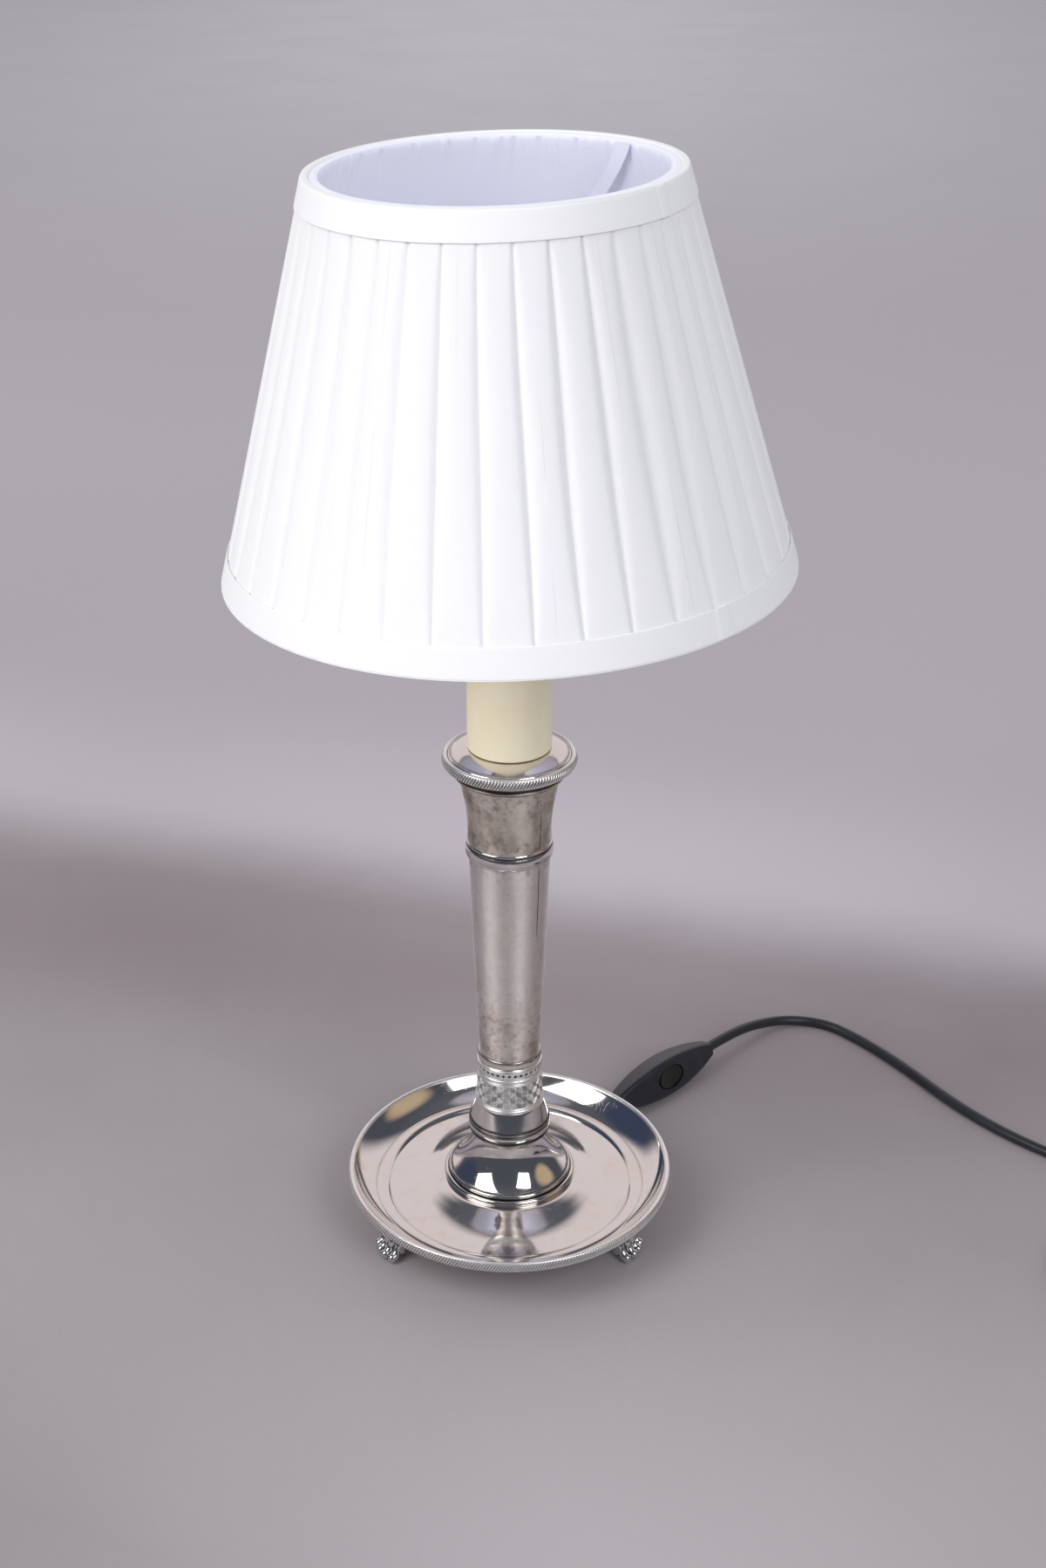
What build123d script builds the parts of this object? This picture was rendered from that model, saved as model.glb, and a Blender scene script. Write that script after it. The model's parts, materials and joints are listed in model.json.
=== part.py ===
from build123d import *
from math import cos, pi, radians, sin, sqrt, tan
import os

# Candlestick table lamp. Millimetres, +Z up, origin on the table under the column's axis,
# -Y is the front. The shade leans a little towards -X, as lamp shades come to do.

os.makedirs("parts", exist_ok=True)

# Foot plate: a spun dish on three paw feet
dish_radius = 78.8
dish_floor = 19.4  # top of the well at its line, above the table
dish_sheet = 1.2
dish_rim_rise = 10.9  # rim above the well
well_radius = 59.8
step_radius = 66.3  # where the bead round the well meets the hollow wall
step_rise = 1.0
lip_radius = dish_radius - 1.8  # wall's top, where the border sits
lip_drop = 0.6  # below the rim
seat_radius = 32.8  # raised centre that the bell stands on
seat_rise = 6.6
# The well falls from the seat to its line: share of the way out, share of the rise left
well_fall = [(0.12, 0.856), (0.27, 0.606), (0.42, 0.371), (0.565, 0.212), (0.71, 0.106), (0.86, 0.038)]
rope_reach = 1.2  # rope border outside the dish's edge
rope_height = 5.3
foot_reach = dish_radius - 5.0  # axis to the toe tips
foot_knuckle = 10.8  # height of the toes' knuckles
foot_spread = 60.0  # front feet, each side of the front
toe_radius = 2.7
toe_count = 4
toe_pitch = 4.1
foot_sole = 11.0  # length of the sole behind the toes
ankle_width = 11.0
ankle_length = 9.0

# Column: turned pieces stacked on the rod, bottom to top
bell_radius = 32.2
bell_height = 26.8
bell_neck = 17.2
column_wall = 1.3
knop_radius = 20.0
knop_height = 16.6
collar_bore = 12.4  # hole through the cast collars
lattice_bottom = 16.2
lattice_top = 15.6
lattice_height = 19.0
dotted_radius = 15.6
dotted_height = 5.6
base_ring_radius = 15.4
base_ring_height = 4.6
stem_bottom = 14.3
stem_top = 18.8
stem_height = 106.9
stem_swell = 0.35  # outward curve of the taper at half height
astragal_radius = 20.3
astragal_height = 8.1
capital_bottom = 19.4
capital_height = 40.9
flange_radius = 29.4
flange_sheet = 1.3
locating_lip = 1.6  # how far a spigot enters the piece it centres
lip_clearance = 0.15

# Drip disc and candle tube
disc_radius = 28.0
disc_edge = 2.7
disc_crown = 5.8  # disc's middle above the capital's flange
disc_sheet = 1.2
tube_radius = 19.1
tube_wall = 2.0
tube_length = 80.6
running_gap = 0.3  # between pieces that turn on each other

# Rod, nuts and outlet under the dish
rod_radius = 5.0  # M10 x 1 all-thread
rod_bore = 3.5
thread_clearance = 0.05
nut_flats = 14.0
nut_height = 5.0
washer_radius = 13.0
washer_height = 1.6
hub_radius = 9.0
hub_bottom = 1.6
rod_engagement = 5.0
outlet_height = 6.5  # cord's axis where it leaves
outlet_azimuth = 54.0
outlet_boss_radius = 5.0
outlet_boss_reach = 13.0
relief_length = 22.0
relief_tip_radius = 3.5

# Lead
cord_diameter = 5.4
lead_clearance = 0.15
lead_bend = 6.0  # inside the outlet hub

# Lamp holder, E27 in three pieces with a ring for the shade
holder_cap_radius = 16.4
holder_radius = 19.75
holder_wall = 1.5
holder_collar_radius = 7.5
holder_collar_height = 8.0
holder_cap_height = 17.5  # rod entry to the flange that covers the tube
holder_flange_height = 5.5
skirt_height = 42.0
shoulder_radius = 24.0
shoulder_height = 2.0
shoulder_level = 15.2  # shoulder's underside above the skirt's foot
insert_radius = 17.4
screw_shell_radius = 13.7
screw_shell_wall = 0.6
screw_shell_height = 26.0
contact_radius = 3.0
clamp_ring_radius = 27.0
clamp_ring_height = 5.0
clamp_ring_knurls = 24

# Bulb, A60
bulb_radius = 30.0
bulb_length = 104.0
bulb_cap_radius = 13.2
bulb_cap_height = 26.0
bulb_neck_radius = 14.2
bulb_glass_wall = 0.8

# Shade
shade_bottom_radius = 124.4
shade_top_radius = 77.7
shade_height = 168.6
shade_level = 347.3  # bottom edge at the axis, above the table
shade_lean = 2.0
pleat_count = 38
pleat_depth = 2.4
pleat_depth_at_trim = 0.9
binding = 0.8  # thickness of the bound edge's cloth
top_binding_height = 12.0
bottom_binding_height = 13.0
binding_fold = 8.0  # inner leg of the binding
lining = 0.7
cloth_gap = 0.15
ring_wire = 1.6  # radius of the shade's top and bottom wires
strut_wire = 1.2
strut_count = 8
fitter_bore = 21.0
fitter_radius = 29.0
fitter_height = 1.4
arm_wire = 1.5
arm_count = 3
arm_azimuth = 90.0
tape_width = 9.0
tape_sheet = 0.6
tape_drop = 27.0
tape_azimuth = 39.5
tape_swing = 17.0  # how far round its loose end has moved

# Switch on the lead, standing on its long edge
switch_centre = (83.0, 103.0)
switch_azimuth = 44.6
switch_roll = 73.0  # rocker's face turned from straight up towards the front
switch_length = 73.0
switch_width = 20.0
switch_half_thickness = 7.2
switch_end_thickness = 4.8
switch_end_width = 8.0
switch_edge_fillet = 2.4
rocker_length = 18.4
rocker_width = 11.4
rocker_gap = 0.5
rocker_swing = 10.0  # from one side down to the other
rocker_pivot_depth = 2.2
rocker_hollow = 0.9
rocker_pin_radius = 1.0
rocker_pin_reach = 1.6  # into the case on each side
pocket_depth = 5.4
switch_screw_spacing = 46.0
switch_screw_radius = 1.7

# Route of the lead on the table
cord_level = cord_diameter / 2
end_run = 11.5  # straight at each end of the short lead
route_to_switch = [(0.333, 4.4), (0.667, 6.9)]  # share of the way, height
out_run = 21.9  # straight out of the switch
route_on_table = [
    (140.2, 159.5, 7.0),
    (159.6, 169.6, 3.6),
    (181.3, 166.1, cord_level),
    (196.8, 150.6, cord_level),
    (210.4, 133.4, cord_level),
    (222.7, 115.2, cord_level),
    (234.1, 96.5, cord_level),
    (246.7, 78.6, cord_level),
    (261.1, 62.0, cord_level),
    (277.1, 47.0, cord_level),
    (294.6, 33.8, cord_level),
    (313.0, 21.8, cord_level),
    (330.1, 8.1, cord_level),
    (343.1, -9.6, cord_level),
    (350.9, -30.1, cord_level),
]
coil_start = (350.9, -52.0)
coil_pitch = 5.9
coil_outer = 42.0
coil_quarters = 13  # quarter turns in each layer
tail_length = 22.0

# Plug, flat with two pins
plug_length = 36.0
plug_width = 26.0
plug_neck_width = 13.0
plug_thickness = 13.6
plug_relief_length = 20.0
plug_relief_radius = 4.6
pin_spacing = 18.6
pin_radius = 2.0
pin_length = 19.0

# Levels, from the table up
table = 0.0
seat_level = dish_floor + seat_rise
rim_level = dish_floor + dish_rim_rise
bell_top = seat_level + bell_height
knop_top = bell_top + knop_height
lattice_level = knop_top + lattice_height
dotted_level = lattice_level + dotted_height
stem_foot = dotted_level + base_ring_height
stem_head = stem_foot + stem_height
astragal_top = stem_head + astragal_height
flange_level = astragal_top + capital_height
crown_level = flange_level + disc_crown
tube_bottom = crown_level + running_gap
tube_top = tube_bottom + tube_length
holder_flange = tube_top + running_gap
holder_entry = holder_flange - holder_cap_height
skirt_foot = holder_flange + holder_flange_height
shoulder_top = skirt_foot + shoulder_level + shoulder_height
skirt_top = skirt_foot + skirt_height
fitter_level = shoulder_top + running_gap
clamp_level = fitter_level + fitter_height + running_gap
washer_level = seat_level - dish_sheet - washer_height
nut_level = washer_level - nut_height
rod_foot = nut_level - rod_engagement
rod_head = holder_entry + holder_collar_height
rope_top = rim_level + 0.4
rope_bottom = rope_top - rope_height

shade_profile = Plane(
    origin=(0, 0, shade_level),
    x_dir=(cos(radians(shade_lean)), 0, sin(radians(shade_lean))),
    z_dir=(0, -1, 0),
)
shade_axis = Axis((0, 0, shade_level), shade_profile.y_dir)
shade_base = Plane(origin=(0, 0, shade_level), x_dir=shade_profile.x_dir, z_dir=shade_profile.y_dir)
shade_slope = (shade_bottom_radius - shade_top_radius) / shade_height


def finish(builder, label):
    """Label a finished piece and write it to its own file."""
    builder.part.label = label
    export_step(builder.part, f"parts/{label}.step")


def contour(start, *steps):
    """Closed outline: a point is reached by a line, a pair of points by an arc through the first."""
    here = start
    for step in steps:
        if isinstance(step[0], tuple):
            ThreePointArc(here, step[0], step[1])
            here = step[1]
        else:
            Line(here, step)
            here = step
    Line(here, start)


# --- Dish -----------------------------------------------------------------------------------

def dish_surface(drop):
    """Upper line of the dish from the hole to the edge, lowered by drop."""
    floor = dish_floor - drop
    seat = seat_level - drop
    lip = rim_level - lip_drop - drop
    hole = rod_radius + thread_clearance
    fall = [
        (seat_radius + way * (well_radius - seat_radius), floor + rise * seat_rise)
        for way, rise in well_fall
    ]
    Line((hole, seat), (seat_radius, seat))
    Spline((seat_radius, seat), *fall, (well_radius, floor), tangents=((1, 0), (1, -0.06)))
    ThreePointArc(
        (well_radius, floor),
        (well_radius + 3.4, floor + step_rise + 0.6),
        (step_radius, floor + step_rise),
    )
    wall_run, wall_rise = lip_radius - step_radius, lip - floor - step_rise
    ThreePointArc(
        (step_radius, floor + step_rise),
        (step_radius + 0.56 * wall_run, floor + step_rise + 0.42 * wall_rise),
        (lip_radius, lip),
    )
    Line((lip_radius, lip), (dish_radius, lip))


with BuildPart() as dish:
    with BuildSketch(Plane.XZ):
        with BuildLine():
            dish_surface(0)
            dish_surface(dish_sheet)
            edge_level = rim_level - lip_drop
            for radius, level in ((rod_radius + thread_clearance, seat_level), (dish_radius, edge_level)):
                Line((radius, level - dish_sheet), (radius, level))
        make_face()
    revolve(axis=Axis.Z)
finish(dish, "dish")

with BuildPart() as dish_rope_rim:
    with BuildSketch(Plane.XZ):
        with BuildLine():
            middle = (rope_top + rope_bottom) / 2
            outside = dish_radius + rope_reach
            contour(
                (dish_radius, rope_bottom),
                ((outside, middle), (dish_radius, rope_top)),
                ((dish_radius - 1.1, rope_top - 0.25), (lip_radius, rim_level - lip_drop)),
                (dish_radius, rim_level - lip_drop),
            )
        make_face()
    revolve(axis=Axis.Z)
finish(dish_rope_rim, "dish_rope_rim")


# --- Paw feet -------------------------------------------------------------------------------

def paw_foot(azimuth):
    """Cast lion's paw: toes and sole on the table, ankle cut to the underside of the dish."""
    out = Vector(cos(radians(azimuth)), sin(radians(azimuth)))
    side = Vector(-out.Y, out.X)
    toe_line = foot_reach - toe_radius
    ankle_line = toe_line - foot_sole * 0.72
    with BuildPart() as foot:
        for toe in range(toe_count):
            offset_side = (toe - (toe_count - 1) / 2) * toe_pitch
            set_back = 0.16 * offset_side**2 / toe_pitch
            tip = out * (toe_line - set_back) + side * offset_side
            knuckle = out * (ankle_line + 1.0) + side * (offset_side * 0.62)
            tip = Vector(tip.X, tip.Y, toe_radius)
            knuckle = Vector(knuckle.X, knuckle.Y, foot_knuckle)
            with Locations(tip):
                Sphere(toe_radius)
            with BuildSketch(Plane(origin=tip, z_dir=knuckle - tip)):
                Circle(toe_radius * 0.97)
            with BuildSketch(Plane(origin=knuckle, z_dir=knuckle - tip)):
                Circle(toe_radius * 0.8)
            loft()
        sole_centre = out * (toe_line - foot_sole / 2)
        sole = Plane(origin=(sole_centre.X, sole_centre.Y, table), x_dir=(out.X, out.Y, 0))
        with BuildSketch(sole):
            RectangleRounded(foot_sole, toe_pitch * toe_count - 1.0, 2.5)
        extrude(amount=toe_radius)
        ankle = out * ankle_line
        ankle_plane = Plane(origin=(ankle.X, ankle.Y, table), x_dir=(out.X, out.Y, 0))
        with BuildSketch(ankle_plane.offset(toe_radius * 0.5)):
            Ellipse(ankle_length * 0.62, toe_pitch * toe_count / 2 - 1.2)
        with BuildSketch(ankle_plane.offset(foot_knuckle * 1.1)):
            Ellipse(ankle_length / 2, ankle_width / 2)
        with BuildSketch(ankle_plane.offset(rim_level)):
            Ellipse(ankle_length * 0.8, ankle_width * 0.75)
        loft()
        with BuildSketch(Plane.XZ):
            with BuildLine():
                dish_surface(dish_sheet)
                edge = (dish_radius, rim_level - lip_drop - dish_sheet)
                hole = rod_radius + thread_clearance
                Line(edge, (dish_radius, rim_level + 5))
                Line((dish_radius, rim_level + 5), (hole, rim_level + 5))
                Line((hole, rim_level + 5), (hole, seat_level - dish_sheet))
            make_face()
        revolve(axis=Axis.Z, mode=Mode.SUBTRACT)
        split(bisect_by=Plane.XY.offset(table), keep=Keep.TOP)
    return foot


foot_places = {"left": -90 - foot_spread, "right": -90 + foot_spread, "back": 90.0}
for place, azimuth in foot_places.items():
    finish(paw_foot(azimuth), f"paw_foot_{place}")


# --- Column ---------------------------------------------------------------------------------

with BuildPart() as bell_foot:
    with BuildSketch(Plane.XZ):
        with BuildLine():
            contour(
                (bell_radius - 0.8, seat_level),
                ((bell_radius, seat_level + 1.6), (bell_radius - 1.0, seat_level + 3.1)),
                (bell_radius - 2.6, seat_level + 3.1),
                ((bell_radius - 2.2, seat_level + 4.2), (bell_radius - 3.6, seat_level + 5.3)),
                ((bell_neck + 4.0, seat_level + 13.8), (bell_neck, bell_top)),
                (bell_neck - column_wall, bell_top),
                (
                    (bell_neck + 4.0 - column_wall, seat_level + 13.0),
                    (bell_radius - 5.2, seat_level + 4.0),
                ),
                (bell_radius - 3.6, seat_level),
            )
        make_face()
    revolve(axis=Axis.Z)
finish(bell_foot, "bell_foot")

with BuildPart() as knop_ring:
    with BuildSketch(Plane.XZ):
        with BuildLine():
            lip = bell_neck - column_wall - lip_clearance
            contour(
                (collar_bore, bell_top - locating_lip),
                (lip, bell_top - locating_lip),
                (lip, bell_top),
                (knop_radius - 0.9, bell_top),
                ((knop_radius - 0.3, bell_top + 0.7), (knop_radius - 0.9, bell_top + 1.3)),
                ((knop_radius, bell_top + 3.2), (knop_radius - 0.5, bell_top + 5.3)),
                (knop_radius - 0.9, bell_top + 5.6),
                ((knop_radius - 0.2, bell_top + 6.3), (knop_radius - 0.8, bell_top + 7.1)),
                ((lattice_bottom + 1.5, knop_top - 5.0), (lattice_bottom - 0.2, knop_top)),
                (collar_bore, knop_top),
            )
        make_face()
    revolve(axis=Axis.Z)
finish(knop_ring, "knop_ring")

with BuildPart() as lattice_collar:
    with BuildSketch(Plane.XZ):
        with BuildLine():
            contour(
                (collar_bore, knop_top),
                (lattice_bottom, knop_top),
                ((lattice_bottom + 0.6, knop_top + 1.1), (lattice_bottom, knop_top + 2.2)),
                (lattice_bottom + 0.3, knop_top + 3.0),
                (lattice_bottom, knop_top + 3.4),
                (lattice_top, lattice_level - 3.2),
                (lattice_top - 0.5, lattice_level - 2.8),
                ((lattice_top + 0.1, lattice_level - 1.4), (lattice_top - 0.5, lattice_level)),
                (collar_bore, lattice_level),
            )
        make_face()
    revolve(axis=Axis.Z)
finish(lattice_collar, "lattice_collar")

with BuildPart() as dotted_collar:
    with BuildSketch(Plane.XZ):
        with BuildLine():
            contour(
                (collar_bore, lattice_level),
                (dotted_radius - 0.6, lattice_level),
                (dotted_radius - 0.6, lattice_level + 0.4),
                (dotted_radius, lattice_level + 0.6),
                ((dotted_radius + 0.15, lattice_level + 2.8), (dotted_radius - 0.1, dotted_level - 0.6)),
                (dotted_radius - 0.7, dotted_level - 0.4),
                (dotted_radius - 0.7, dotted_level),
                (collar_bore, dotted_level),
            )
        make_face()
    revolve(axis=Axis.Z)
finish(dotted_collar, "dotted_collar")

with BuildPart() as stem_base_ring:
    with BuildSketch(Plane.XZ):
        with BuildLine():
            lip = stem_bottom - column_wall - lip_clearance
            contour(
                (collar_bore - 1.2, dotted_level),
                (base_ring_radius - 0.3, dotted_level),
                ((base_ring_radius, dotted_level + 1.9), (base_ring_radius - 0.3, stem_foot - 0.8)),
                ((base_ring_radius - 0.5, stem_foot - 0.1), (base_ring_radius - 1.0, stem_foot)),
                (lip, stem_foot),
                (lip, stem_foot + locating_lip),
                (collar_bore - 1.2, stem_foot + locating_lip),
            )
        make_face()
    revolve(axis=Axis.Z)
finish(stem_base_ring, "stem_base_ring")

with BuildPart() as stem_tube:
    with BuildSketch(Plane.XZ):
        with BuildLine():
            swell = (stem_bottom + stem_top) / 2 + stem_swell
            halfway = (stem_foot + stem_head) / 2
            contour(
                (stem_bottom, stem_foot),
                ((swell, halfway), (stem_top, stem_head)),
                (stem_top - column_wall, stem_head),
                ((swell - column_wall, halfway), (stem_bottom - column_wall, stem_foot)),
            )
        make_face()
    revolve(axis=Axis.Z)
finish(stem_tube, "stem_tube")

with BuildPart() as astragal_ring:
    with BuildSketch(Plane.XZ):
        with BuildLine():
            bore = stem_top - column_wall - 3.0
            stem_lip = stem_top - column_wall - lip_clearance
            capital_lip = capital_bottom - column_wall - lip_clearance
            contour(
                (bore, stem_head - locating_lip),
                (stem_lip, stem_head - locating_lip),
                (stem_lip, stem_head),
                (stem_top + 0.2, stem_head),
                ((astragal_radius - 0.3, stem_head + 0.8), (astragal_radius, stem_head + 2.4)),
                ((astragal_radius - 0.1, stem_head + 5.0), (astragal_radius - 0.7, stem_head + 6.3)),
                (capital_bottom + 0.1, stem_head + 6.5),
                ((capital_bottom + 0.5, stem_head + 7.3), (capital_bottom, astragal_top)),
                (capital_lip, astragal_top),
                (capital_lip, astragal_top + locating_lip),
                (bore, astragal_top + locating_lip),
            )
        make_face()
    revolve(axis=Axis.Z)
finish(astragal_ring, "astragal_ring")

with BuildPart() as capital:
    with BuildSketch(Plane.XZ):
        with BuildLine():
            flare_start = flange_level - 14.0
            bead_level = flange_level - 6.6
            underside = flange_level - flange_sheet
            contour(
                (capital_bottom, astragal_top),
                ((capital_bottom + 0.45, flare_start - 12.0), (capital_bottom + 2.3, flare_start - 2.0)),
                ((capital_bottom + 3.4, bead_level - 4.4), (flange_radius - 4.6, bead_level - 0.8)),
                ((flange_radius - 3.7, bead_level), (flange_radius - 4.4, bead_level + 0.9)),
                ((flange_radius - 3.2, bead_level + 3.4), (flange_radius, underside - 0.6)),
                (flange_radius, flange_level),
                (rod_radius + thread_clearance, flange_level),
                (rod_radius + thread_clearance, underside),
                (capital_bottom - column_wall + 3.0, underside),
                (
                    (capital_bottom - column_wall + 1.2, flare_start),
                    (capital_bottom - column_wall, astragal_top),
                ),
            )
        make_face()
    revolve(axis=Axis.Z)
finish(capital, "capital")

with BuildPart() as capital_rope_rim:
    with BuildSketch(Plane.XZ):
        with BuildLine():
            band_top = flange_level + disc_edge + 0.1
            band_bottom = band_top - rope_height
            contour(
                (flange_radius, band_bottom),
                ((flange_radius + 1.4, (band_top + band_bottom) / 2), (flange_radius, band_top)),
                (disc_radius + lip_clearance, band_top - 0.5),
                (disc_radius + lip_clearance, flange_level),
                (flange_radius, flange_level),
            )
        make_face()
    revolve(axis=Axis.Z)
finish(capital_rope_rim, "capital_rope_rim")

with BuildPart() as drip_disc:
    with BuildSketch(Plane.XZ):
        with BuildLine():
            edge_top = flange_level + disc_edge
            crown_radius = tube_radius - 1.0
            hole = rod_radius + thread_clearance
            contour(
                (disc_radius, flange_level),
                (disc_radius, edge_top - 0.8),
                ((disc_radius - 0.3, edge_top - 0.1), (disc_radius - 1.2, edge_top + 0.3)),
                ((disc_radius - 5.2, crown_level - 0.9), (crown_radius, crown_level)),
                (hole, crown_level),
                (hole, crown_level - disc_sheet),
                (crown_radius, crown_level - disc_sheet),
                (
                    (disc_radius - 5.2, crown_level - 0.9 - disc_sheet),
                    (disc_radius - disc_sheet, edge_top - disc_sheet),
                ),
                (disc_radius - disc_sheet, flange_level),
            )
        make_face()
    revolve(axis=Axis.Z)
finish(drip_disc, "drip_disc")

with BuildPart() as candle_tube:
    with BuildSketch(Plane.XY.offset(tube_bottom)):
        Circle(tube_radius)
        Circle(tube_radius - tube_wall, mode=Mode.SUBTRACT)
    extrude(amount=tube_length)
    chamfer(candle_tube.edges().filter_by(GeomType.CIRCLE).group_by(Axis.Z)[0], length=0.4)
finish(candle_tube, "candle_tube")


# --- Rod, nuts and cord outlet --------------------------------------------------------------

def hex_nut(level, bore):
    """Nut with chamfered corners that sits on its level."""
    with BuildPart() as nut:
        with BuildSketch(Plane.XY.offset(level)):
            RegularPolygon(nut_flats / 2, 6, major_radius=False)
        extrude(amount=nut_height)
        with BuildSketch(Plane.XZ):
            with BuildLine():
                corner = nut_flats / sqrt(3)
                top = level + nut_height
                contour(
                    (0, level),
                    (nut_flats / 2, level),
                    (corner, level + 0.8),
                    (corner, top - 0.8),
                    (nut_flats / 2, top),
                    (0, top),
                )
            make_face()
        revolve(axis=Axis.Z, mode=Mode.INTERSECT)
        with BuildSketch(Plane.XY.offset(level)):
            Circle(bore)
        extrude(amount=nut_height, mode=Mode.SUBTRACT)
    return nut


def flat_washer(level, radius):
    """Plain washer on the rod."""
    with BuildPart() as washer:
        with BuildSketch(Plane.XY.offset(level)):
            Circle(radius)
            Circle(rod_radius + thread_clearance, mode=Mode.SUBTRACT)
        extrude(amount=washer_height)
    return washer


with BuildPart() as threaded_rod:
    with BuildSketch(Plane.XY.offset(rod_foot)):
        Circle(rod_radius)
        Circle(rod_bore, mode=Mode.SUBTRACT)
    extrude(amount=rod_head - rod_foot)
    chamfer(threaded_rod.edges().filter_by(GeomType.CIRCLE).sort_by(SortBy.RADIUS)[-2:], length=0.5)
finish(threaded_rod, "threaded_rod")

finish(flat_washer(washer_level, washer_radius), "base_washer")
finish(hex_nut(nut_level, rod_radius + thread_clearance), "base_nut")
finish(flat_washer(crown_level, washer_radius), "top_washer")
finish(hex_nut(crown_level + washer_height, rod_radius + thread_clearance), "top_nut")

outlet_direction = Vector(cos(radians(outlet_azimuth)), sin(radians(outlet_azimuth)))
outlet_plane = Plane(
    origin=(0, 0, outlet_height),
    x_dir=(-outlet_direction.Y, outlet_direction.X, 0),
    z_dir=outlet_direction,
)
lead_bore = cord_diameter / 2 + lead_clearance
hub_floor = outlet_height - lead_bore - 0.4

with BuildPart() as cord_outlet_hub:
    with BuildSketch(Plane.XZ):
        with BuildLine():
            contour(
                (0, hub_bottom),
                (hub_radius - 1.5, hub_bottom),
                ((hub_radius - 0.44, hub_bottom + 0.44), (hub_radius, hub_bottom + 1.5)),
                (hub_radius, nut_level),
                (0, nut_level),
            )
        make_face()
    revolve(axis=Axis.Z)
    with BuildSketch(outlet_plane):
        Circle(outlet_boss_radius - 0.3)
    extrude(amount=outlet_boss_reach)
    with BuildSketch(Plane.XY.offset(hub_floor)):
        Circle(rod_radius + thread_clearance)
    extrude(amount=nut_level - hub_floor, mode=Mode.SUBTRACT)
    with BuildSketch(outlet_plane):
        Circle(lead_bore)
    extrude(amount=outlet_boss_reach, mode=Mode.SUBTRACT)
finish(cord_outlet_hub, "cord_outlet_hub")

relief_start = outlet_plane.offset(outlet_boss_reach)
with BuildPart() as strain_relief:
    with BuildSketch(relief_start):
        Circle(outlet_boss_radius)
    with BuildSketch(relief_start.offset(relief_length * 0.25)):
        Circle(outlet_boss_radius * 0.85)
    loft()
    with BuildSketch(relief_start.offset(relief_length * 0.25)):
        Circle(outlet_boss_radius * 0.85)
    with BuildSketch(relief_start.offset(relief_length)):
        Circle(relief_tip_radius)
    loft()
    with BuildSketch(relief_start):
        Circle(lead_bore)
    extrude(amount=relief_length, mode=Mode.SUBTRACT)
finish(strain_relief, "strain_relief")

relief_tip = relief_start.offset(relief_length).origin
lead_top = rod_head + 3.0
with BuildPart() as inner_lead:
    with BuildLine():
        down = Line((0, 0, lead_top), (0, 0, outlet_height + lead_bend))
        turn = TangentArc(
            (0, 0, outlet_height + lead_bend),
            (outlet_direction.X * lead_bend, outlet_direction.Y * lead_bend, outlet_height),
            tangent=(0, 0, -1),
        )
        Line(turn @ 1, relief_tip)
    with BuildSketch(Plane(origin=(0, 0, lead_top), z_dir=(0, 0, -1))):
        Circle(cord_diameter / 2)
    sweep()
finish(inner_lead, "inner_lead")


# --- Lamp holder ----------------------------------------------------------------------------

with BuildPart() as lampholder_cap:
    with BuildSketch(Plane.XZ):
        with BuildLine():
            collar_top = holder_entry + holder_collar_height
            flange_top = holder_flange + holder_flange_height
            inside = holder_cap_radius - holder_wall
            contour(
                (rod_radius + thread_clearance, holder_entry),
                (holder_collar_radius, holder_entry),
                (holder_collar_radius, collar_top - 2.0),
                (
                    (holder_cap_radius - 2.4, collar_top + 0.6),
                    (holder_cap_radius, holder_flange - 3.0),
                ),
                (holder_cap_radius, holder_flange),
                (holder_radius - 0.35, holder_flange),
                (holder_radius, holder_flange + 0.4),
                (holder_radius, flange_top),
                (insert_radius + 0.6, flange_top),
                (insert_radius + 0.6, holder_flange + 1.4),
                (inside, holder_flange + 1.4),
                (inside, holder_flange - 3.0),
                ((inside - 2.4, collar_top + 2.2), (holder_collar_radius - 0.6, collar_top)),
                (rod_radius + thread_clearance, collar_top),
            )
        make_face()
    revolve(axis=Axis.Z)
finish(lampholder_cap, "lampholder_cap")

insert_foot = holder_flange + 1.4
insert_floor = skirt_foot + 3.0
with BuildPart() as lampholder_insert:
    with BuildSketch(Plane.XY.offset(insert_foot)):
        Circle(insert_radius)
    extrude(amount=insert_floor - insert_foot)
    with BuildSketch(Plane.XY.offset(insert_floor)):
        Circle(screw_shell_radius + screw_shell_wall + 2.0)
        Circle(screw_shell_radius + screw_shell_wall, mode=Mode.SUBTRACT)
    extrude(amount=screw_shell_height + 4.0)
    with Locations((0, 0, insert_floor)):
        with PolarLocations(9.0, 2):
            Hole(1.6)
finish(lampholder_insert, "lampholder_insert")

with BuildPart() as lampholder_contacts:
    with BuildSketch(Plane.XY.offset(insert_floor)):
        Circle(screw_shell_radius + screw_shell_wall)
        Circle(screw_shell_radius, mode=Mode.SUBTRACT)
    extrude(amount=screw_shell_height)
    with BuildSketch(Plane.XY.offset(insert_floor)):
        Circle(contact_radius)
    extrude(amount=2.2)
finish(lampholder_contacts, "lampholder_contacts")

with BuildPart() as lampholder_skirt:
    with BuildSketch(Plane.XZ):
        with BuildLine():
            inside = holder_radius - holder_wall
            shoulder = skirt_foot + shoulder_level
            contour(
                (inside, skirt_foot),
                (holder_radius, skirt_foot),
                (holder_radius, shoulder),
                (shoulder_radius - 0.5, shoulder),
                (shoulder_radius, shoulder + 0.5),
                (shoulder_radius, shoulder_top),
                (holder_radius, shoulder_top),
                (holder_radius, skirt_top - 3.0),
                ((holder_radius - 0.9, skirt_top - 0.9), (holder_radius - 3.0, skirt_top)),
                (holder_radius - 3.0, skirt_top - holder_wall),
                (inside, skirt_top - 3.4),
            )
        make_face()
    revolve(axis=Axis.Z)
finish(lampholder_skirt, "lampholder_skirt")

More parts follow.
